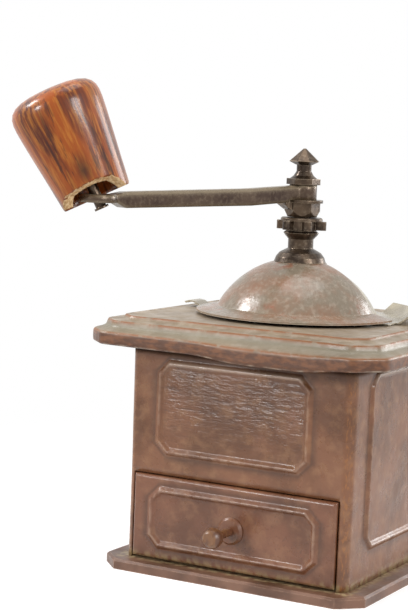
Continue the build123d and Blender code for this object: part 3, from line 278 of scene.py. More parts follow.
# %% Case
case_half, case_round, case_low, case_high = 47.0, 4.0, 3.9, 96.6
top_bend = 0.8
corner_pull = 0.5
far_from_frames = 60.0
opening_half, opening_top = 43.4, 37.5
front_frame = (-2.0, 31.2, 46.5, 80.3)
side_frame = (0.0, 31.0, 18.0, 82.0)
fold = case_half - case_round
front_lines = sheet_lines(-fold, fold, [(-35.6, -26.8), (22.8, 31.6)])
side_lines = sheet_lines(-fold, fold, [(-33.4, -24.6), (24.6, 33.4)])
corner_turn = np.radians([5.74, 16, 27, 38, 49, 60, 71, 80])
columns_x, columns_y, out_x, out_y, along, side_number = [], [], [], [], [], []
for number, lines in enumerate([front_lines, side_lines, side_lines, side_lines]):
    normal = np.array([(0, -1), (1, 0), (0, 1), (-1, 0)][number])
    tangent = np.array([(1, 0), (0, 1), (-1, 0), (0, -1)][number])
    flat_points = normal * case_half + tangent * lines[:, None]
    turned_out = normal * np.cos(corner_turn)[:, None] + tangent * np.sin(corner_turn)[:, None]
    turned_points = (normal + tangent) * fold + turned_out * case_round
    both = np.concatenate([flat_points, turned_points])
    outward = np.concatenate([np.repeat(normal[None], len(lines), 0), turned_out])
    columns_x.append(both[:, 0])
    columns_y.append(both[:, 1])
    out_x.append(outward[:, 0])
    out_y.append(outward[:, 1])
    along.append(np.concatenate([lines, np.full(len(corner_turn), far_from_frames)]))
    side_number.append(np.full(len(both), number))
columns_x, columns_y, out_x, out_y, along, side_number = map(
    np.concatenate, (columns_x, columns_y, out_x, out_y, along, side_number))
wall_z = sheet_lines(
    case_low, case_high - top_bend,
    [(15.8, 24.2), (36.6, opening_top), (44.3, 52.7), (74.1, 84.2)])
up = wall_z[:, None]
front_out, front_crest = pressed_frame(along, up, *front_frame)
side_out, side_crest = pressed_frame(along, up, *side_frame)
is_front = side_number == 0
outside = np.where(is_front, front_out, side_out)
crest = np.where(is_front, front_crest, side_crest)
wave = 0.14 * np.sin(along / 13.0 + side_number * 1.7) * np.sin(up / 17.0 + 0.6 + side_number)
push = bead_height * crest + wave * np.clip(-outside / 6.0, 0, 1)
low_share = np.clip((86 - up) / 46, 0, 1)
left_share = np.clip((-columns_x - 43.4) / 3.6, 0, 1)
near_front = np.clip((-20 - columns_y) / 26, 0, 1)
pull_in = corner_pull * low_share * left_share * near_front
wall_x = columns_x + out_x * push + pull_in
wall_y = columns_y + out_y * push
bend = np.radians([20, 45, 70, 90])
bend_in = (top_bend * (1 - np.cos(bend)))[:, None]
top_in = np.concatenate([bend_in, [[3.0]], [[5.5]]])
shrink = 1 - top_in / case_half
top_z = np.concatenate([case_high - top_bend + top_bend * np.sin(bend), [case_high, case_high]])
case_x = np.concatenate([wall_x, columns_x * shrink])
case_y = np.concatenate([wall_y, columns_y * shrink])
case_z = np.concatenate([wall_z, top_z])[:, None] + 0 * case_x
middle_x = (case_x[:-1] + np.roll(case_x, -1, 1)[:-1]) / 2
middle_z = (case_z[:-1] + case_z[1:]) / 2
in_width = np.abs(middle_x) < opening_half - 0.05
on_front = case_y[:-1] < -case_half + 1
is_opening = in_width & on_front & (middle_z < opening_top)
shares = {name: np.concatenate([value, np.zeros((len(top_z), value.shape[1]))])
          for name, value in frame_shares(outside, crest).items()}
shares["front"] = np.broadcast_to(is_front, case_x.shape)
shares["corner"] = np.broadcast_to(np.abs(out_x * out_y) * 2, case_x.shape)
case = grid_mesh("pressed_case", np.stack([case_x, case_y, case_z], -1), False, True, is_opening, shares)
thicken(case, sheet_wall)
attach(case, "case")
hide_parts("body_shell")

# %% [markdown]
# ## The drawer's front
# The drawer's front is a shallow pan: a flat with a pressed frame, and edges rolled back into the case.
# Its grid has the same lines of points. Near the rim a line's place stops and its depth grows instead,
# so the sheet turns the edge with a small radius.


# %% Drawer's front
drawer_half, drawer_low, drawer_high, drawer_face, drawer_edge = 42.7, 4.8, 37.0, -48.45, 4.4
drawer_frame = (0.0, 34.5, 10.5, 31.6, 3.8)
pull_height, pull_hole = 20.4, 1.75


def rolled(start, stop, spans, turn=1.3):
    """Places across a pan and how deep each lies: flat between the rims, then round them and back."""
    angles = np.radians([0, 18, 36, 54, 72, 90])
    flat_lines = sheet_lines(start + turn, stop - turn, spans)[1:-1]
    arc = turn * np.sin(angles)
    deep = np.append(turn * (1 - np.cos(angles)), [2.8, drawer_edge])
    high_arc = np.append(stop - turn + arc, [stop, stop])
    low_arc = np.append(start + turn - arc, [start, start])
    places = np.concatenate([low_arc[::-1], flat_lines, high_arc])
    return places, np.concatenate([deep[::-1], 0 * flat_lines, deep])


pan_x, deep_x = rolled(-drawer_half, drawer_half, [(-36.8, -28.6), (-2.2, 2.2), (28.6, 36.8)])
pan_z, deep_z = rolled(drawer_low, drawer_high, [(8.3, 16.6), (18.2, 22.6), (25.6, 33.9)])
pan_outside, pan_crest = pressed_frame(pan_x, pan_z[:, None], *drawer_frame)
pan_wave = 0.12 * np.sin(pan_x / 12.0) * np.sin(pan_z[:, None] / 5.0) * np.clip(-pan_outside / 5.0, 0, 1)
pan_y = drawer_face + np.maximum(deep_x[None], deep_z[:, None]) - bead_height * pan_crest - pan_wave
pan = np.stack([pan_x[None] + 0 * pan_y, pan_y, pan_z[:, None] + 0 * pan_y], -1)
pan_middle = (pan[:-1, :-1] + pan[1:, 1:]) / 2
is_hole = np.hypot(pan_middle[..., 0], pan_middle[..., 2] - pull_height) < pull_hole + 0.25
drawer_shares = frame_shares(pan_outside, pan_crest)
drawer_pan = grid_mesh("drawer_pan", pan, False, False, is_hole, drawer_shares, True)
thicken(drawer_pan, sheet_wall)
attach(drawer_pan, "drawer")
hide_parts("drawer_front")

# %% [markdown]
# ## The stepped cover
# The cover is one sheet, pressed in steps and turned down at the rim, with its corners cut off. A
# lathe shape can't do it, since it isn't round, and a stack of slabs has hard steps. So its section
# is carried round a cut-cornered square, and each point of the section says how large that square is.


# %% Cover
def cut_square_rings(half, corner, long_count=58, short_count=10, soften=1):
    """Rings of points round cut-cornered squares, one ring for each half and corner, its corners rounded
    by averaging each point with its neighbours."""
    half, corner = np.asarray(half, float), np.asarray(corner, float)
    near = half - corner
    x = np.stack([-near, near, half, half, near, -near, -half, -half], 1)
    y = np.stack([-half, -half, -near, near, half, half, near, -near], 1)
    counts = [long_count, short_count] * 4
    edge = np.repeat(np.arange(8), counts)
    share = np.concatenate([np.arange(n) / n for n in counts])
    px = x[:, edge] * (1 - share) + x[:, (edge + 1) % 8] * share
    py = y[:, edge] * (1 - share) + y[:, (edge + 1) % 8] * share
    rolls = range(-soften, soften + 1)
    px = sum(np.roll(px, k, 1) for k in rolls) / len(rolls)
    py = sum(np.roll(py, k, 1) for k in rolls) / len(rolls)
    return px, py


cover_section = np.array([
    (49.4, 97.4), (50.2, 97.45), (50.6, 97.65), (51.0, 97.6), (51.3, 97.2), (51.55, 96.75), (52.0, 96.4),
    (53.0, 96.15), (54.4, 95.95), (55.6, 95.8), (56.2, 95.95), (56.6, 95.9), (56.9, 95.4), (57.1, 94.7),
    (57.35, 93.9), (57.8, 93.3), (58.6, 92.9), (59.6, 92.55), (60.5, 92.3), (61.1, 91.95), (61.45, 91.4),
    (61.5, 90.6), (61.5, 88.4), (61.4, 87.4), (61.0, 86.95), (60.7, 87.0), (60.6, 87.4), (60.7, 88.4),
    (60.7, 90.2), (60.4, 90.8), (59.4, 91.4), (58.0, 91.9), (56.9, 92.3), (56.3, 93.1), (56.0, 94.6),
    (55.2, 94.95), (53.0, 95.35), (51.4, 95.7), (50.6, 96.3), (49.4, 96.6),
])
section_run = np.append(0, np.cumsum(np.hypot(*np.diff(cover_section, axis=0).T)))
section_rows = 150
inner_rings = 7
mouth_radius, cover_top, cover_under, inside_cover = 30.0, 97.4, 96.6, 40.0
even_run = np.linspace(0, section_run[-1], section_rows)
cover_half = np.interp(even_run, section_run, cover_section[:, 0])
cover_z = np.interp(even_run, section_run, cover_section[:, 1])
lowest = int(np.argmin(cover_z))
cover_corner = np.interp(cover_half, [50.8, 56.7, 58.4, 61.5], [5.4, 7.6, 8.2, 9.2])
cover_x, cover_y = cut_square_rings(cover_half, cover_corner)
mouth = mouth_radius / np.hypot(cover_x[0], cover_y[0])
spread = np.linspace(0, 1, inner_rings + 1)[:, None]
top_x = cover_x[0] * (mouth * (1 - spread) + spread)
top_y = cover_y[0] * (mouth * (1 - spread) + spread)
grid_x = np.concatenate([top_x[:-1], cover_x, top_x[-2::-1]])
grid_y = np.concatenate([top_y[:-1], cover_y, top_y[-2::-1]])
z_row = np.concatenate([np.full(inner_rings, cover_top), cover_z, np.full(inner_rings, cover_under)])
grid_z = z_row[:, None] + 0 * grid_x
rim_share = np.clip((93.0 - grid_z) / 3.0, 0, 1)
front_share = np.clip((-grid_y - 52.0) / 6.0, 0, 1)
sag = 2.1 * np.exp(-(((grid_x - 18.0) / 24.0) ** 4)) * rim_share * front_share
ripple = 0.25 * np.sin(grid_x / 11.0 + 0.6) * np.sin(grid_y / 13.0 + 1.1)
grid_z = grid_z - sag + ripple * (np.abs(grid_x) + np.abs(grid_y) > 62) * rim_share
half_row = np.concatenate([
    np.full(inner_rings, inside_cover), cover_half, np.full(inner_rings, inside_cover)])
drawn_side = np.arange(len(z_row)) < inner_rings + lowest + 3


def near(value, place, width):
    """A share that is 1 at a place and falls off over a width, as a bell curve."""
    return np.exp(-(((value - place) / width) ** 2))


ridges = near(half_row, 51.1, 0.32) + near(half_row, 56.75, 0.28) + near(z_row, 91.7, 0.35)
# where the painted highlights run: beside the top's two ridges and near the rim's lower edge
ridge_highlight_lines = near(half_row, 50.2, 0.3) + near(half_row, 55.9, 0.35) + near(z_row, 87.3, 0.25)
ridge_row = drawn_side * np.clip(ridges, 0, 1)
ridge_highlight_row = drawn_side * np.clip(ridge_highlight_lines, 0, 1)
cover_shares = {
    "ridge": ridge_row[:, None], "pale": ridge_highlight_row[:, None],
    "cove": (drawn_side * near(z_row, 93.6, 1.3))[:, None],
    "rim": np.clip((91.7 - z_row) / 0.6, 0, 1)[:, None],
}
cover = grid_mesh("stepped_cover", np.stack([grid_x, grid_y, grid_z], -1), shares=cover_shares)
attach(cover, "case")
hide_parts("top_cover")

# %% [markdown]
# ## The wooden knob
# The knob is turned from a hardwood blank and lacquered. Its section is a lathe profile with a hollow
# foot round the crank's pad. A piece has broken out of the foot, so the profile's lower edge rises
# with the angle there, the outer edge more than the inner, which leaves a slanting strip of raw wood.

# %% Knob
lean, lean_angle, crank_angle = np.radians([26.4, -152.9, -109.06])
knob_axis = np.array([np.sin(lean) * np.cos(lean_angle), np.sin(lean) * np.sin(lean_angle), np.cos(lean)])
knob_side = np.array([np.sin(lean_angle), -np.cos(lean_angle), 0.0])
knob_third = np.cross(knob_axis, knob_side)
knob_axes = np.stack([knob_side, knob_third, knob_axis])
crank_radius, knob_height = 102.0, 143.9
knob_base = np.array([crank_radius * np.cos(crank_angle), crank_radius * np.sin(crank_angle), knob_height])
camera_bearing = np.radians(-64.1)
to_camera = np.array([np.cos(camera_bearing), np.sin(camera_bearing), 0.0])
chip_angle = np.arctan2(to_camera @ knob_third, to_camera @ knob_side)


def degrees_from_chip(angle):
    """An angle round the knob, in degrees from the middle of the break, from -180 to 180."""
    return np.degrees((angle - chip_angle + np.pi) % (2 * np.pi) - np.pi)


def break_height(degrees):
    """How much of the foot is gone, in mm, at an angle from the middle of the break."""
    return np.interp(degrees, [-74, -60, -42, -12, 18, 44, 60, 70], [0, 2.6, 4.9, 5.9, 6.3, 5.2, 2.4, 0])


outer_h = np.array([
    0.0, 0.3, 0.9, 2, 4, 6, 9, 13, 18, 23, 28, 32, 34.5, 36.5, 38.2, 39.6, 40.6, 41.2, 41.5])
outer_r = np.array([
    12.1, 12.4, 12.6, 12.75, 13.0, 13.25, 13.6, 14.1, 14.75, 15.4, 16.0, 16.4, 16.45, 16.1, 15.2, 13.6,
    11.2, 8.2, 5.0])
top_r = np.array([4.3, 4.3, 2.0])
top_h = np.array([41.3, 38.0, 38.0])
inner_r = np.array([2.0, 8.4, 8.8, 8.8, 8.9, 9.1])
inner_h = np.array([5.2, 5.2, 4.8, 3.0, 1.0, 0.0])
foot_r = np.array([9.6, 10.6, 11.4])
foot_h = np.zeros(3)
section_r = np.concatenate([outer_r, top_r, inner_r, foot_r])
section_h = np.concatenate([outer_h, top_h, inner_h, foot_h])
outer_count, top_count, inner_count = len(outer_r), len(top_r), len(inner_r)
is_outer = np.arange(len(section_r)) < outer_count
is_foot = np.arange(len(section_r)) >= outer_count + top_count + inner_count
break_reach = 12
round_count = 160
turn = np.arange(round_count) * 2 * np.pi / round_count
from_chip = degrees_from_chip(turn)
jag = 0.12 * np.sin(turn * 17) + 0.1 * np.sin(turn * 31 + 1.0)
broken = break_height(from_chip)
outer_break = np.clip(broken + jag * (broken > 0.5), 0, None)
inner_break = np.clip(0.78 * broken + 0.4 * jag * (broken > 0.5), 0, 4.8)
outer_share = np.concatenate([np.ones(outer_count), np.zeros(top_count + inner_count), [0.25, 0.55, 0.8]])
lift_outer = np.where(section_h < break_reach, 1 - section_h / break_reach, 0) * is_outer
lift_inner = np.concatenate([
    np.zeros(outer_count + top_count), [0, 0, 0.1, 0.45, 0.8, 1.0], np.zeros(len(foot_r))])
h_grid = (
    section_h[:, None]
    + lift_outer[:, None] * outer_break
    + lift_inner[:, None] * inner_break
    + is_foot[:, None] * (outer_share[:, None] * outer_break + (1 - outer_share[:, None]) * inner_break)
)
r_grid = section_r[:, None] + 0 * h_grid
lifted_r = np.interp(h_grid[:outer_count], outer_h, outer_r)
r_grid[:outer_count] = np.where(outer_h[:, None] < break_reach, lifted_r, r_grid[:outer_count])
r_grid[is_foot] += 0.1 * np.sin(turn * 23 + 2.0) * (broken > 0.5)
knob_local = np.stack([r_grid * np.cos(turn), r_grid * np.sin(turn), h_grid], -1)
knob_points = knob_base + knob_local @ knob_axes
burnt = np.exp(-(((from_chip - 6) / 11) ** 2) - ((h_grid - 10.5) / 4.5) ** 2) * (r_grid > 11)
knob = grid_mesh("turned_knob", knob_points, shares={"burnt": burnt})
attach(knob, "grip")
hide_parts("wooden_knob")

# %% Knob's own coordinates and its raw wood
# The grain runs along the knob, so the knob carries its own coordinates: across, across, along.
def own_places(items, name):
    """What a list of points or faces holds under a name, in mm along the knob's own three axes."""
    read = np.empty(3 * len(items), np.float32)
    items.foreach_get(name, read)
    return (read.reshape(-1, 3).astype(float) / MM - knob_base) @ knob_axes.T


own = knob.data.attributes.new("own_mm", "FLOAT_VECTOR", "POINT")
own.data.foreach_set("vector", own_places(knob.data.vertices, "co").astype(np.float32).ravel())
local = own_places(knob.data.polygons, "center")
reach = np.hypot(local[:, 0], local[:, 1])
face_angle = degrees_from_chip(np.arctan2(local[:, 1], local[:, 0]))
in_break = (local[:, 2] < 0.9 * break_height(face_angle) + 0.4) & (np.abs(face_angle) < 72)
raw = in_break & (reach > 8.9) & (reach < 12.9)
print("raw wood faces:", int(raw.sum()))

# %% [markdown]
# ## Finishes
# The case is deep-drawn sheet under brown enamel paint. Years of hands and seed have dulled it: the
# colour is uneven, the crests of the pressed frames are rubbed pale, and the folded corners are worn
# down to an orange undercoat in specks. Dirt and painted shade make a dark band along each frame's
# outer foot, a painted shadow darkens the sheet under the cover to near black, a painted highlight
# lightens the upper frame's crest just below it, and painted shade darkens the hollows of the front's
# creases. Paint isn't a metal, so metallic stays at 0, and the satin comes from a middling roughness.


# %% Brown enamel
def brown_enamel(name, colour, dark, light):
    """Enamel paint on pressed steel: clouds, rubbed crests, worn corners, dirt and painted shade at the
    frames' feet, a painted shadow under the cover, a painted highlight on the upper frame and painted
    shade in the front's creases."""
    material, tree, shader = new_finish(name)
    clouds = step_between(tree, object_noise(tree, 24, 5), 0.36, 0.64)
    mottle = step_between(tree, object_noise(tree, 4.5, 6, offset=(0.3, 0.1, 0)), 0.44, 0.7)
    ragged = step_between(tree, object_noise(tree, 2.4, 5, stretch=(1, 1, 2)), 0.4, 0.58)
    specks = step_between(tree, object_noise(tree, 0.8, 4, stretch=(1, 1, 2.5)), 0.5, 0.64)
    base = mix_colour(tree, clouds, dark, colour)
    base = mix_colour(tree, multiply(tree, mottle, 0.35), base, light)
    rubbed = multiply(tree, step_between(tree, stored_share(tree, "crest"), 0.6, 1.0), ragged)
    base = mix_colour(tree, multiply(tree, rubbed, 0.3), base, "a98f7c")
    worn = multiply(tree, step_between(tree, stored_share(tree, "corner"), 0.25, 0.9), specks)
    base = mix_colour(tree, multiply(tree, worn, 0.5), base, "976333")
    # dirt and painted shade: a dark band along each frame's outer foot
    base = mix_colour(tree, multiply(tree, stored_share(tree, "foot"), 0.6), base, "42281a")
    height = object_place(tree, "Z")
    # painted shadow: the sheet under the cover's overhang goes near black, where its shade falls
    painted_cover_shadow = step_between(tree, height, 0.0822, 0.0852)
    base = mix_colour(tree, multiply(tree, painted_cover_shadow, 0.95), base, "110a06")
    # painted highlight: the crest of the front's upper frame is lightened just below the cover's shadow
    above, below = step_between(tree, height, 0.0785, 0.0805), step_between(tree, height, 0.0835, 0.082)
    painted_top_frame_highlight = multiply(tree, above, below)
    painted_top_frame_highlight = multiply(tree, painted_top_frame_highlight, stored_share(tree, "crest"))
    base = mix_colour(tree, multiply(tree, painted_top_frame_highlight, 0.65), base, "bba391")
    dusty = multiply(tree, step_between(tree, height, 0.0042, 0.0085, 0.75, 0.0), ragged)
    base = mix_colour(tree, dusty, base, "96845f")
    pits = step_between(tree, object_noise(tree, 0.8, 2, stretch=(1, 1, 1.6)), 0.64, 0.7)
    pitted = multiply(tree, multiply(tree, pits, stored_share(tree, "inside")), 0.55)
    base = mix_colour(tree, pitted, base, "4c3023")
    handled = step_between(tree, object_place(tree, "Y"), -0.0502, -0.0535, 0.0, 0.7)
    base = mix_colour(tree, handled, base, mix_colour(tree, ragged, "4f3222", "74502f"))
    front_inside = multiply(tree, stored_share(tree, "inside"), stored_share(tree, "front"))
    creases = object_noise(tree, 1.5, 4, stretch=(4.0, 4.0, 1))
    front_inside = multiply(tree, front_inside, step_between(tree, height, 0.05, 0.068, 0.25, 1.0))
    # painted shade: the hollows of the front panel's creases are darkened
    painted_crease_shade = multiply(tree, step_between(tree, creases, 0.47, 0.36), front_inside)
    base = mix_colour(tree, multiply(tree, painted_crease_shade, 0.5), base, "4a2e20")
    tree.links.new(base, shader.inputs["Base Color"])
    satin = step_between(tree, object_noise(tree, 7, 4), 0.3, 0.7, 0.24, 0.38)
    rough = add_node(tree, "ShaderNodeMath", None, {0: satin, 1: painted_cover_shadow}, operation="ADD", use_clamp=True)
    tree.links.new(rough.outputs[0], shader.inputs["Roughness"])
    creased = multiply(tree, creases, front_inside)
    relief = bumps(tree, object_noise(tree, 1.7, 3), 0.07)
    relief = bumps(tree, object_noise(tree, 9, 3), 0.35, relief)
    relief = bumps(tree, creased, 0.6, relief)
    tree.links.new(relief, shader.inputs["Normal"])
    return material


case_paint = brown_enamel("worn_brown_enamel_on_case", "774e35", "5c3922", "97704f")
drawer_paint = brown_enamel("worn_brown_enamel_on_drawer", "704731", "583521", "8d674a")

# %% [markdown]
# The base has the same paint, rubbed along its edge. Pale seed dust lies in the angle where the case
# stands on it, so the dust's share comes from how far out a point of its flat top is.


# %% Dusty base paint
def dusty_base(name):
    """Brown enamel with rubbed edges, and dust on the top near the case."""
    material, tree, shader = new_finish(name)
    clouds = step_between(tree, object_noise(tree, 14, 5), 0.36, 0.64)
    ragged = step_between(tree, object_noise(tree, 2.2, 5), 0.36, 0.6)
    where = add_node(tree, "ShaderNodeTexCoord")
    size = add_node(tree, "ShaderNodeVectorMath", None, {0: where.outputs["Object"]}, operation="ABSOLUTE")
    axes = add_node(tree, "ShaderNodeSeparateXYZ", None, {0: size.outputs[0]})
    widest = add_node(
        tree, "ShaderNodeMath", None, {0: axes.outputs[0], 1: axes.outputs[1]}, operation="MAXIMUM")
    base = mix_colour(tree, clouds, "553828", "71503e")
    dust = multiply(tree, step_between(tree, widest.outputs[0], 0.0475, 0.0515, 1.0, 0.0), ragged)
    dust = multiply(tree, dust, step_between(tree, facing_up(tree), 0.5, 0.9))
    base = mix_colour(tree, multiply(tree, dust, 0.85), base, "a38f6b")
    rubbed = multiply(tree, edge_share(tree, 0.9, 0.01, 0.12), ragged)
    base = mix_colour(tree, multiply(tree, rubbed, 0.6), base, "b08f77")
    tree.links.new(base, shader.inputs["Base Color"])
    rough = step_between(tree, object_noise(tree, 7, 4), 0.3, 0.7, 0.34, 0.52)
    tree.links.new(rough, shader.inputs["Roughness"])
    tree.links.new(bumps(tree, object_noise(tree, 1.6, 3), 0.08), shader.inputs["Normal"])
    return material


plinth_paint = dusty_base("dusty_brown_enamel_on_base")

# %% [markdown]
# The cover's paint has gone chalky, between olive and tan, and thin broken lines of rust follow its
# pressed ridges, with a painted highlight as a pale line beside them and near the rim's lower edge. Its
# rim has lost the grey and is a dark rusty brown. The cover stores where its ridges, painted highlights
# and rim are, because it knows its own section.


# %% Chalky cover paint
def chalky_cover(name):
    """Aged olive and tan paint with rust on the ridges, painted highlights beside them, and a dark rusty rim.
    """
    material, tree, shader = new_finish(name)
    clouds = step_between(tree, object_noise(tree, 16, 6), 0.36, 0.64)
    fine = step_between(tree, object_noise(tree, 2.2, 5, stretch=(2, 2, 1)), 0.42, 0.68)
    broken = step_between(tree, object_noise(tree, 5.5, 6), 0.36, 0.5, 0.15, 1.0)
    specks = step_between(tree, object_noise(tree, 1.6, 5, stretch=(2.5, 2.5, 1)), 0.4, 0.66)
    base = mix_colour(tree, clouds, "776753", "8a7963")
    base = mix_colour(tree, multiply(tree, fine, 0.4), base, "a6998a")
    base = mix_colour(tree, multiply(tree, stored_share(tree, "cove"), 0.6), base, "74705f")
    rim = mix_colour(tree, specks, "4f2f1b", "6f4529")
    base = mix_colour(tree, stored_share(tree, "rim"), base, rim)
    # painted highlight: pale lines beside the ridges and near the rim's lower edge
    pale = multiply(tree, stored_share(tree, "pale"), multiply(tree, fine, 0.6))
    base = mix_colour(tree, pale, base, "c2b29c")
    base = mix_colour(tree, multiply(tree, stored_share(tree, "ridge"), broken), base, "7d4a1f")
    tree.links.new(base, shader.inputs["Base Color"])
    rough = step_between(tree, object_noise(tree, 5, 4), 0.3, 0.7, 0.34, 0.52)
    tree.links.new(rough, shader.inputs["Roughness"])
    relief = bumps(tree, object_noise(tree, 1.6, 4), 0.07)
    tree.links.new(bumps(tree, object_noise(tree, 12, 3), 0.4, relief), shader.inputs["Normal"])
    return material


cover_metal = chalky_cover("chalky_olive_paint_with_rust")
set_finish(cover, cover_metal)

# %% [markdown]
# The dome and shutter were painted too. The paint is polished by hands, olive grey above, with
# pinkish brown patches and a spot of rust, and ivory on the shutter's leaf.


# %% Dome and shutter paint
def polished_paint(name, colour, patch, rust_share):
    """Thin paint polished by use: a colour, wide patches of another and small rust."""
    material, tree, shader = new_finish(name)
    patches = step_between(tree, object_noise(tree, 15, 5, offset=(0.2, 0.4, 0)), 0.42, 0.66)
    fine = step_between(tree, object_noise(tree, 1.8, 5), 0.45, 0.7)
    rust = step_between(tree, object_noise(tree, 9, 6, offset=(1.1, 0, 0.4)), 0.6, 0.72)
    base = mix_colour(tree, patches, colour, patch)
    base = mix_colour(tree, multiply(tree, fine, 0.3), base, "b0a394")
    base = mix_colour(tree, multiply(tree, rust, rust_share), base, "85482c")
    rubbed = edge_share(tree, 0.6, 0.02, 0.2)
    base = mix_colour(tree, multiply(tree, rubbed, 0.5), base, "c9bba5")
    tree.links.new(base, shader.inputs["Base Color"])
    rough = step_between(tree, object_noise(tree, 3.5, 5), 0.3, 0.7, 0.16, 0.32)
    tree.links.new(rough, shader.inputs["Roughness"])
    relief = bumps(tree, object_noise(tree, 1.5, 4), 0.06)
    tree.links.new(bumps(tree, object_noise(tree, 8, 3), 0.3, relief), shader.inputs["Normal"])
    return material


dome_metal = polished_paint("polished_olive_paint_on_dome", "786c5c", "80604a", 0.6)
shutter_metal = polished_paint("polished_ivory_paint_on_shutter", "8f8674", "b5ab93", 0.3)

# %% [markdown]
# The ironwork above the dome is bare turned steel that has browned. It is a metal, so its colour is
# also its reflection, and the light comes off it in soft patches. Edges that hands touch are brighter.
# On the crank's arm a painted sheen lightens the faces turned up and, less, those turned down.


# %% Browned metals
def browned_metal(name, dark, middle, bright, metallic, rough_low, rough_high, patch_mm=9, top=None,
                   round_mm=0.35):
    """Old bare metal: brown patina in patches, rubbed edges, and, where a top colour is given, a
    painted sheen of it on faces turned up and, weaker, on faces turned down.
    """
    material, tree, shader = new_finish(name)
    patches = step_between(tree, object_noise(tree, patch_mm, 5), 0.36, 0.64)
    fine = step_between(tree, object_noise(tree, 1.4, 4), 0.45, 0.7)
    ragged = step_between(tree, object_noise(tree, 3, 3), 0.3, 0.6)
    edges = multiply(tree, edge_share(tree, 0.6, 0.02, 0.22), ragged)
    softened = add_node(tree, "ShaderNodeBevel", {"Radius": round_mm * MM}, samples=8).outputs[0]
    base = mix_colour(tree, patches, dark, middle)
    # painted sheen: the top colour on faces turned up and, weaker, on faces turned down, from normals rounded
    # over round_mm
    if top is not None:
        upward = add_node(tree, "ShaderNodeSeparateXYZ", None, {0: softened}).outputs["Z"]
        base = mix_colour(tree, step_between(tree, upward, 0.05, 0.6, 0.0, 0.85), base, top)
        base = mix_colour(tree, step_between(tree, upward, -0.1, -0.5, 0.0, 0.5), base, top)
    base = mix_colour(tree, multiply(tree, fine, 0.2), base, bright)
    base = mix_colour(tree, multiply(tree, edges, 0.7), base, bright)
    tree.links.new(base, shader.inputs["Base Color"])
    shader.inputs["Metallic"].default_value = metallic
    rough = step_between(tree, object_noise(tree, 5, 4), 0.3, 0.7, rough_low, rough_high)
    tree.links.new(rough, shader.inputs["Roughness"])
    tree.links.new(bumps(tree, object_noise(tree, 1.8, 3), 0.07, softened), shader.inputs["Normal"])
    return material


dark_steel = browned_metal("browned_turned_steel", "362a21", "584737", "a3927c", 0.65, 0.24, 0.38)
# the arm's painted sheen is 877861, on normals rounded over 2.8 mm
arm_steel = browned_metal(
    "browned_forged_steel_arm", "38251a", "4d3b2d", "97866f", 0.45, 0.24, 0.38, 12, "877861", 2.8)
burr_iron = browned_metal("dark_cast_iron_of_burrs", "2f2b28", "4a433e", "8d8378", 0.7, 0.4, 0.6)
tinned_sheet = browned_metal("dull_tinned_sheet", "85807a", "a19b90", "c9c4b8", 0.8, 0.35, 0.5, 20)

# %% [markdown]
# The knob's wood has long grain under a glossy lacquer that has darkened from gold to a deep red-brown.
# The coat is a layer of its own on the shader. Where the foot broke, the raw wood is pale and rough.


# %% Lacquered wood
def along_grain(tree, across_scale, along_scale, detail):
    """Noise on the knob's own coordinates in millimetres, drawn out along the grain."""
    own_place = add_node(tree, "ShaderNodeAttribute", attribute_name="own_mm")
    drawn = add_node(
        tree, "ShaderNodeMapping", {"Scale": (across_scale, across_scale, along_scale)},
        {"Vector": own_place.outputs["Vector"]})
    return add_node(
        tree, "ShaderNodeTexNoise", {"Scale": 1.0, "Detail": detail, "Roughness": 0.6},
        {"Vector": drawn.outputs[0]}).outputs["Fac"]


def knob_wood(name, lacquered):
    """Turned hardwood: noise stretched along the knob's own axis, in gold, red-brown and dark streaks."""
    material, tree, shader = new_finish(name)
    grain = along_grain(tree, 0.85, 0.035, 5.0)
    figure = along_grain(tree, 0.17, 0.016, 3.0)
    streaks = along_grain(tree, 0.38, 0.022, 4.0)
    if lacquered:
        base = mix_colour(tree, step_between(tree, figure, 0.38, 0.6), "521d05", "964810")
        base = mix_colour(tree, step_between(tree, grain, 0.44, 0.66, 0.0, 0.6), base, "b8742c")
        base = mix_colour(tree, step_between(tree, streaks, 0.43, 0.35, 0.0, 0.75), base, "35160b")
        base = mix_colour(tree, multiply(tree, stored_share(tree, "burnt"), 0.85), base, "1d0f0a")
        shader.inputs["Coat Weight"].default_value = 0.5
        shader.inputs["Coat IOR"].default_value = 1.42
        shader.inputs["Specular IOR Level"].default_value = 0.2
        shader.inputs["Coat Roughness"].default_value = 0.16
        shader.inputs["Roughness"].default_value = 0.4
    else:
        base = mix_colour(tree, step_between(tree, grain, 0.38, 0.62), "b58c5c", "dcbd90")
        shader.inputs["Roughness"].default_value = 0.8
    tree.links.new(base, shader.inputs["Base Color"])
    tree.links.new(bumps(tree, grain, 0.06 if lacquered else 0.2), shader.inputs["Normal"])
    return material


lacquered_wood = knob_wood("red_brown_lacquered_wood", True)
raw_wood = knob_wood("raw_broken_wood", False)
set_finish(knob, lacquered_wood, raw_wood)
knob.data.polygons.foreach_set("material_index", raw.astype(np.int32))

# %% Every frame node gets its finish
slot_finish = {
    "plinth_paint": plinth_paint, "case_paint": case_paint, "drawer_paint": drawer_paint,
    "cover_metal": cover_metal, "tinned_sheet": tinned_sheet, "dome_metal": dome_metal,
    "shutter_metal": shutter_metal, "burr_iron": burr_iron, "dark_steel": dark_steel,
    "arm_steel": arm_steel, "lacquered_wood": lacquered_wood,
}
for part in frame["record"]["subparts"]:
    set_finish(frame["nodes"][part["node"]], slot_finish[part["material_slot"]])
set_finish(case, case_paint)
set_finish(drawer_pan, drawer_paint)
print("finishes used:", len(slot_finish))

# %% [markdown]
# ## Floor, light and camera
# The floor is a pale patch that catches the soft shadow and fades out to the white behind it, so no
# horizon shows. Four lamps stand round the mill like windows, and a fifth hangs above it. The camera
# stands about 0.7 m away, a little above the crank.

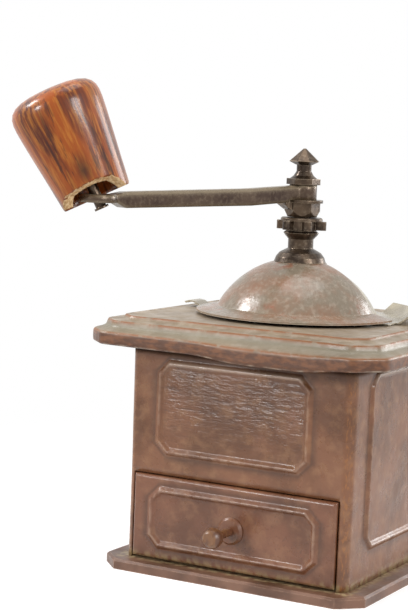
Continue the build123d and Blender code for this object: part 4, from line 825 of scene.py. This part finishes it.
# %% Floor
floor_reach = 0.34
floor_mesh = bpy.data.meshes.new("floor")
floor_mesh.from_pydata(
    [(-floor_reach, -floor_reach, 0), (floor_reach, -floor_reach, 0), (floor_reach, floor_reach, 0),
     (-floor_reach, floor_reach, 0)], [], [(0, 1, 2, 3)])
floor = bpy.data.objects.new("floor", floor_mesh)
bpy.context.scene.collection.objects.link(floor)
floor_paint, floor_tree, floor_shader = new_finish("matt_white_floor")
floor_shader.inputs["Base Color"].default_value = (0.7, 0.7, 0.7, 1)
floor_shader.inputs["Roughness"].default_value = 0.9
seen = add_node(floor_tree, "ShaderNodeLightPath")
seen_any = add_node(
    floor_tree, "ShaderNodeMath", None,
    {0: seen.outputs["Is Camera Ray"], 1: seen.outputs["Is Glossy Ray"]}, operation="MAXIMUM",
)
floor_glow = multiply(floor_tree, seen_any.outputs[0], 0.42)
floor_shader.inputs["Emission Color"].default_value = (1, 1, 1, 1)
floor_tree.links.new(floor_glow, floor_shader.inputs["Emission Strength"])
floor_place = add_node(floor_tree, "ShaderNodeTexCoord")
floor_far = add_node(
    floor_tree, "ShaderNodeVectorMath", None, {0: floor_place.outputs["Object"]}, operation="LENGTH")
floor_fade = step_between(floor_tree, floor_far.outputs["Value"], 0.12, floor_reach - 0.02, 1.0, 0.0)
floor_tree.links.new(floor_fade, floor_shader.inputs["Alpha"])
set_finish(floor, floor_paint)

# %% Light
world = bpy.data.worlds.new("pale_studio")
bpy.context.scene.world = world
world.use_nodes = True
sky = world.node_tree
sky.nodes.clear()
sky_out = sky.nodes.new("ShaderNodeOutputWorld")
sky_path = add_node(sky, "ShaderNodeLightPath")
sky_seen = add_node(
    sky, "ShaderNodeMath", None,
    {0: sky_path.outputs["Is Camera Ray"], 1: sky_path.outputs["Is Transmission Ray"]}, operation="MAXIMUM",
)
sky_seen = add_node(
    sky, "ShaderNodeMath", None, {0: sky_seen.outputs[0], 1: sky_path.outputs["Is Glossy Ray"]},
    operation="MAXIMUM",
)
fill_light, seen_white = 0.38, 1.0
sky_strength = add_node(
    sky, "ShaderNodeMapRange", {"To Min": fill_light, "To Max": seen_white}, {"Value": sky_seen.outputs[0]})
sky_light = add_node(
    sky, "ShaderNodeBackground", {"Color": (1, 1, 1, 1)}, {"Strength": sky_strength.outputs["Result"]})
sky.links.new(sky_light.outputs[0], sky_out.inputs[0])


def soft_lamp(name, place, aim, size, power):
    """A square lamp at a place in metres, turned to face a point."""
    lamp = bpy.data.lights.new(name, "AREA")
    lamp.energy = power
    lamp.size = size
    holder = bpy.data.objects.new(name, lamp)
    holder.location = place
    holder.rotation_euler = (Vector(aim) - Vector(place)).to_track_quat("-Z", "Y").to_euler()
    bpy.context.scene.collection.objects.link(holder)


soft_lamp("window_right", (1.3, -0.35, 0.7), (0, 0, 0.08), 0.5, 14)
soft_lamp("window_left", (-1.15, -0.45, 1.0), (0, 0, 0.1), 0.42, 15)
soft_lamp("window_front", (-0.6, -1.45, 0.55), (0, 0, 0.08), 0.3, 12)
soft_lamp("window_behind", (0.75, 1.25, 0.45), (0, 0, 0.07), 0.6, 9)
soft_lamp("ceiling", (0.0, 0.1, 1.5), (0, 0, 0.1), 0.9, 7)

# %% Camera
camera_data = bpy.data.cameras.new("photo_view")
camera = bpy.data.objects.new("photo_view", camera_data)
bpy.context.scene.collection.objects.link(camera)
yaw, pitch, roll = np.radians([-28.95, 6.02, 2.32])
forward = np.array([np.sin(yaw) * np.cos(pitch), np.cos(yaw) * np.cos(pitch), -np.sin(pitch)])
level = np.array([np.cos(yaw), -np.sin(yaw), 0.0])
upward = np.cross(level, forward)
camera_right = np.cos(roll) * level + np.sin(roll) * upward
camera_up = -np.sin(roll) * level + np.cos(roll) * upward
camera_turn = np.eye(4)
camera_turn[:3, 0], camera_turn[:3, 1], camera_turn[:3, 2] = camera_right, camera_up, -forward
camera_turn[:3, 3] = np.array([302.9, -623.5, 173.0]) * MM
camera.matrix_world = Matrix(camera_turn.tolist())
focal_pixels, picture_height = 1774, 612
camera_data.sensor_fit = "VERTICAL"
camera_data.sensor_height = 36.0
camera_data.lens = focal_pixels / picture_height * camera_data.sensor_height
camera_data.clip_start = 0.01
bpy.context.scene.camera = camera
bpy.context.scene.view_settings.view_transform = "Standard"
print("lens", round(camera_data.lens, 1), "mm")
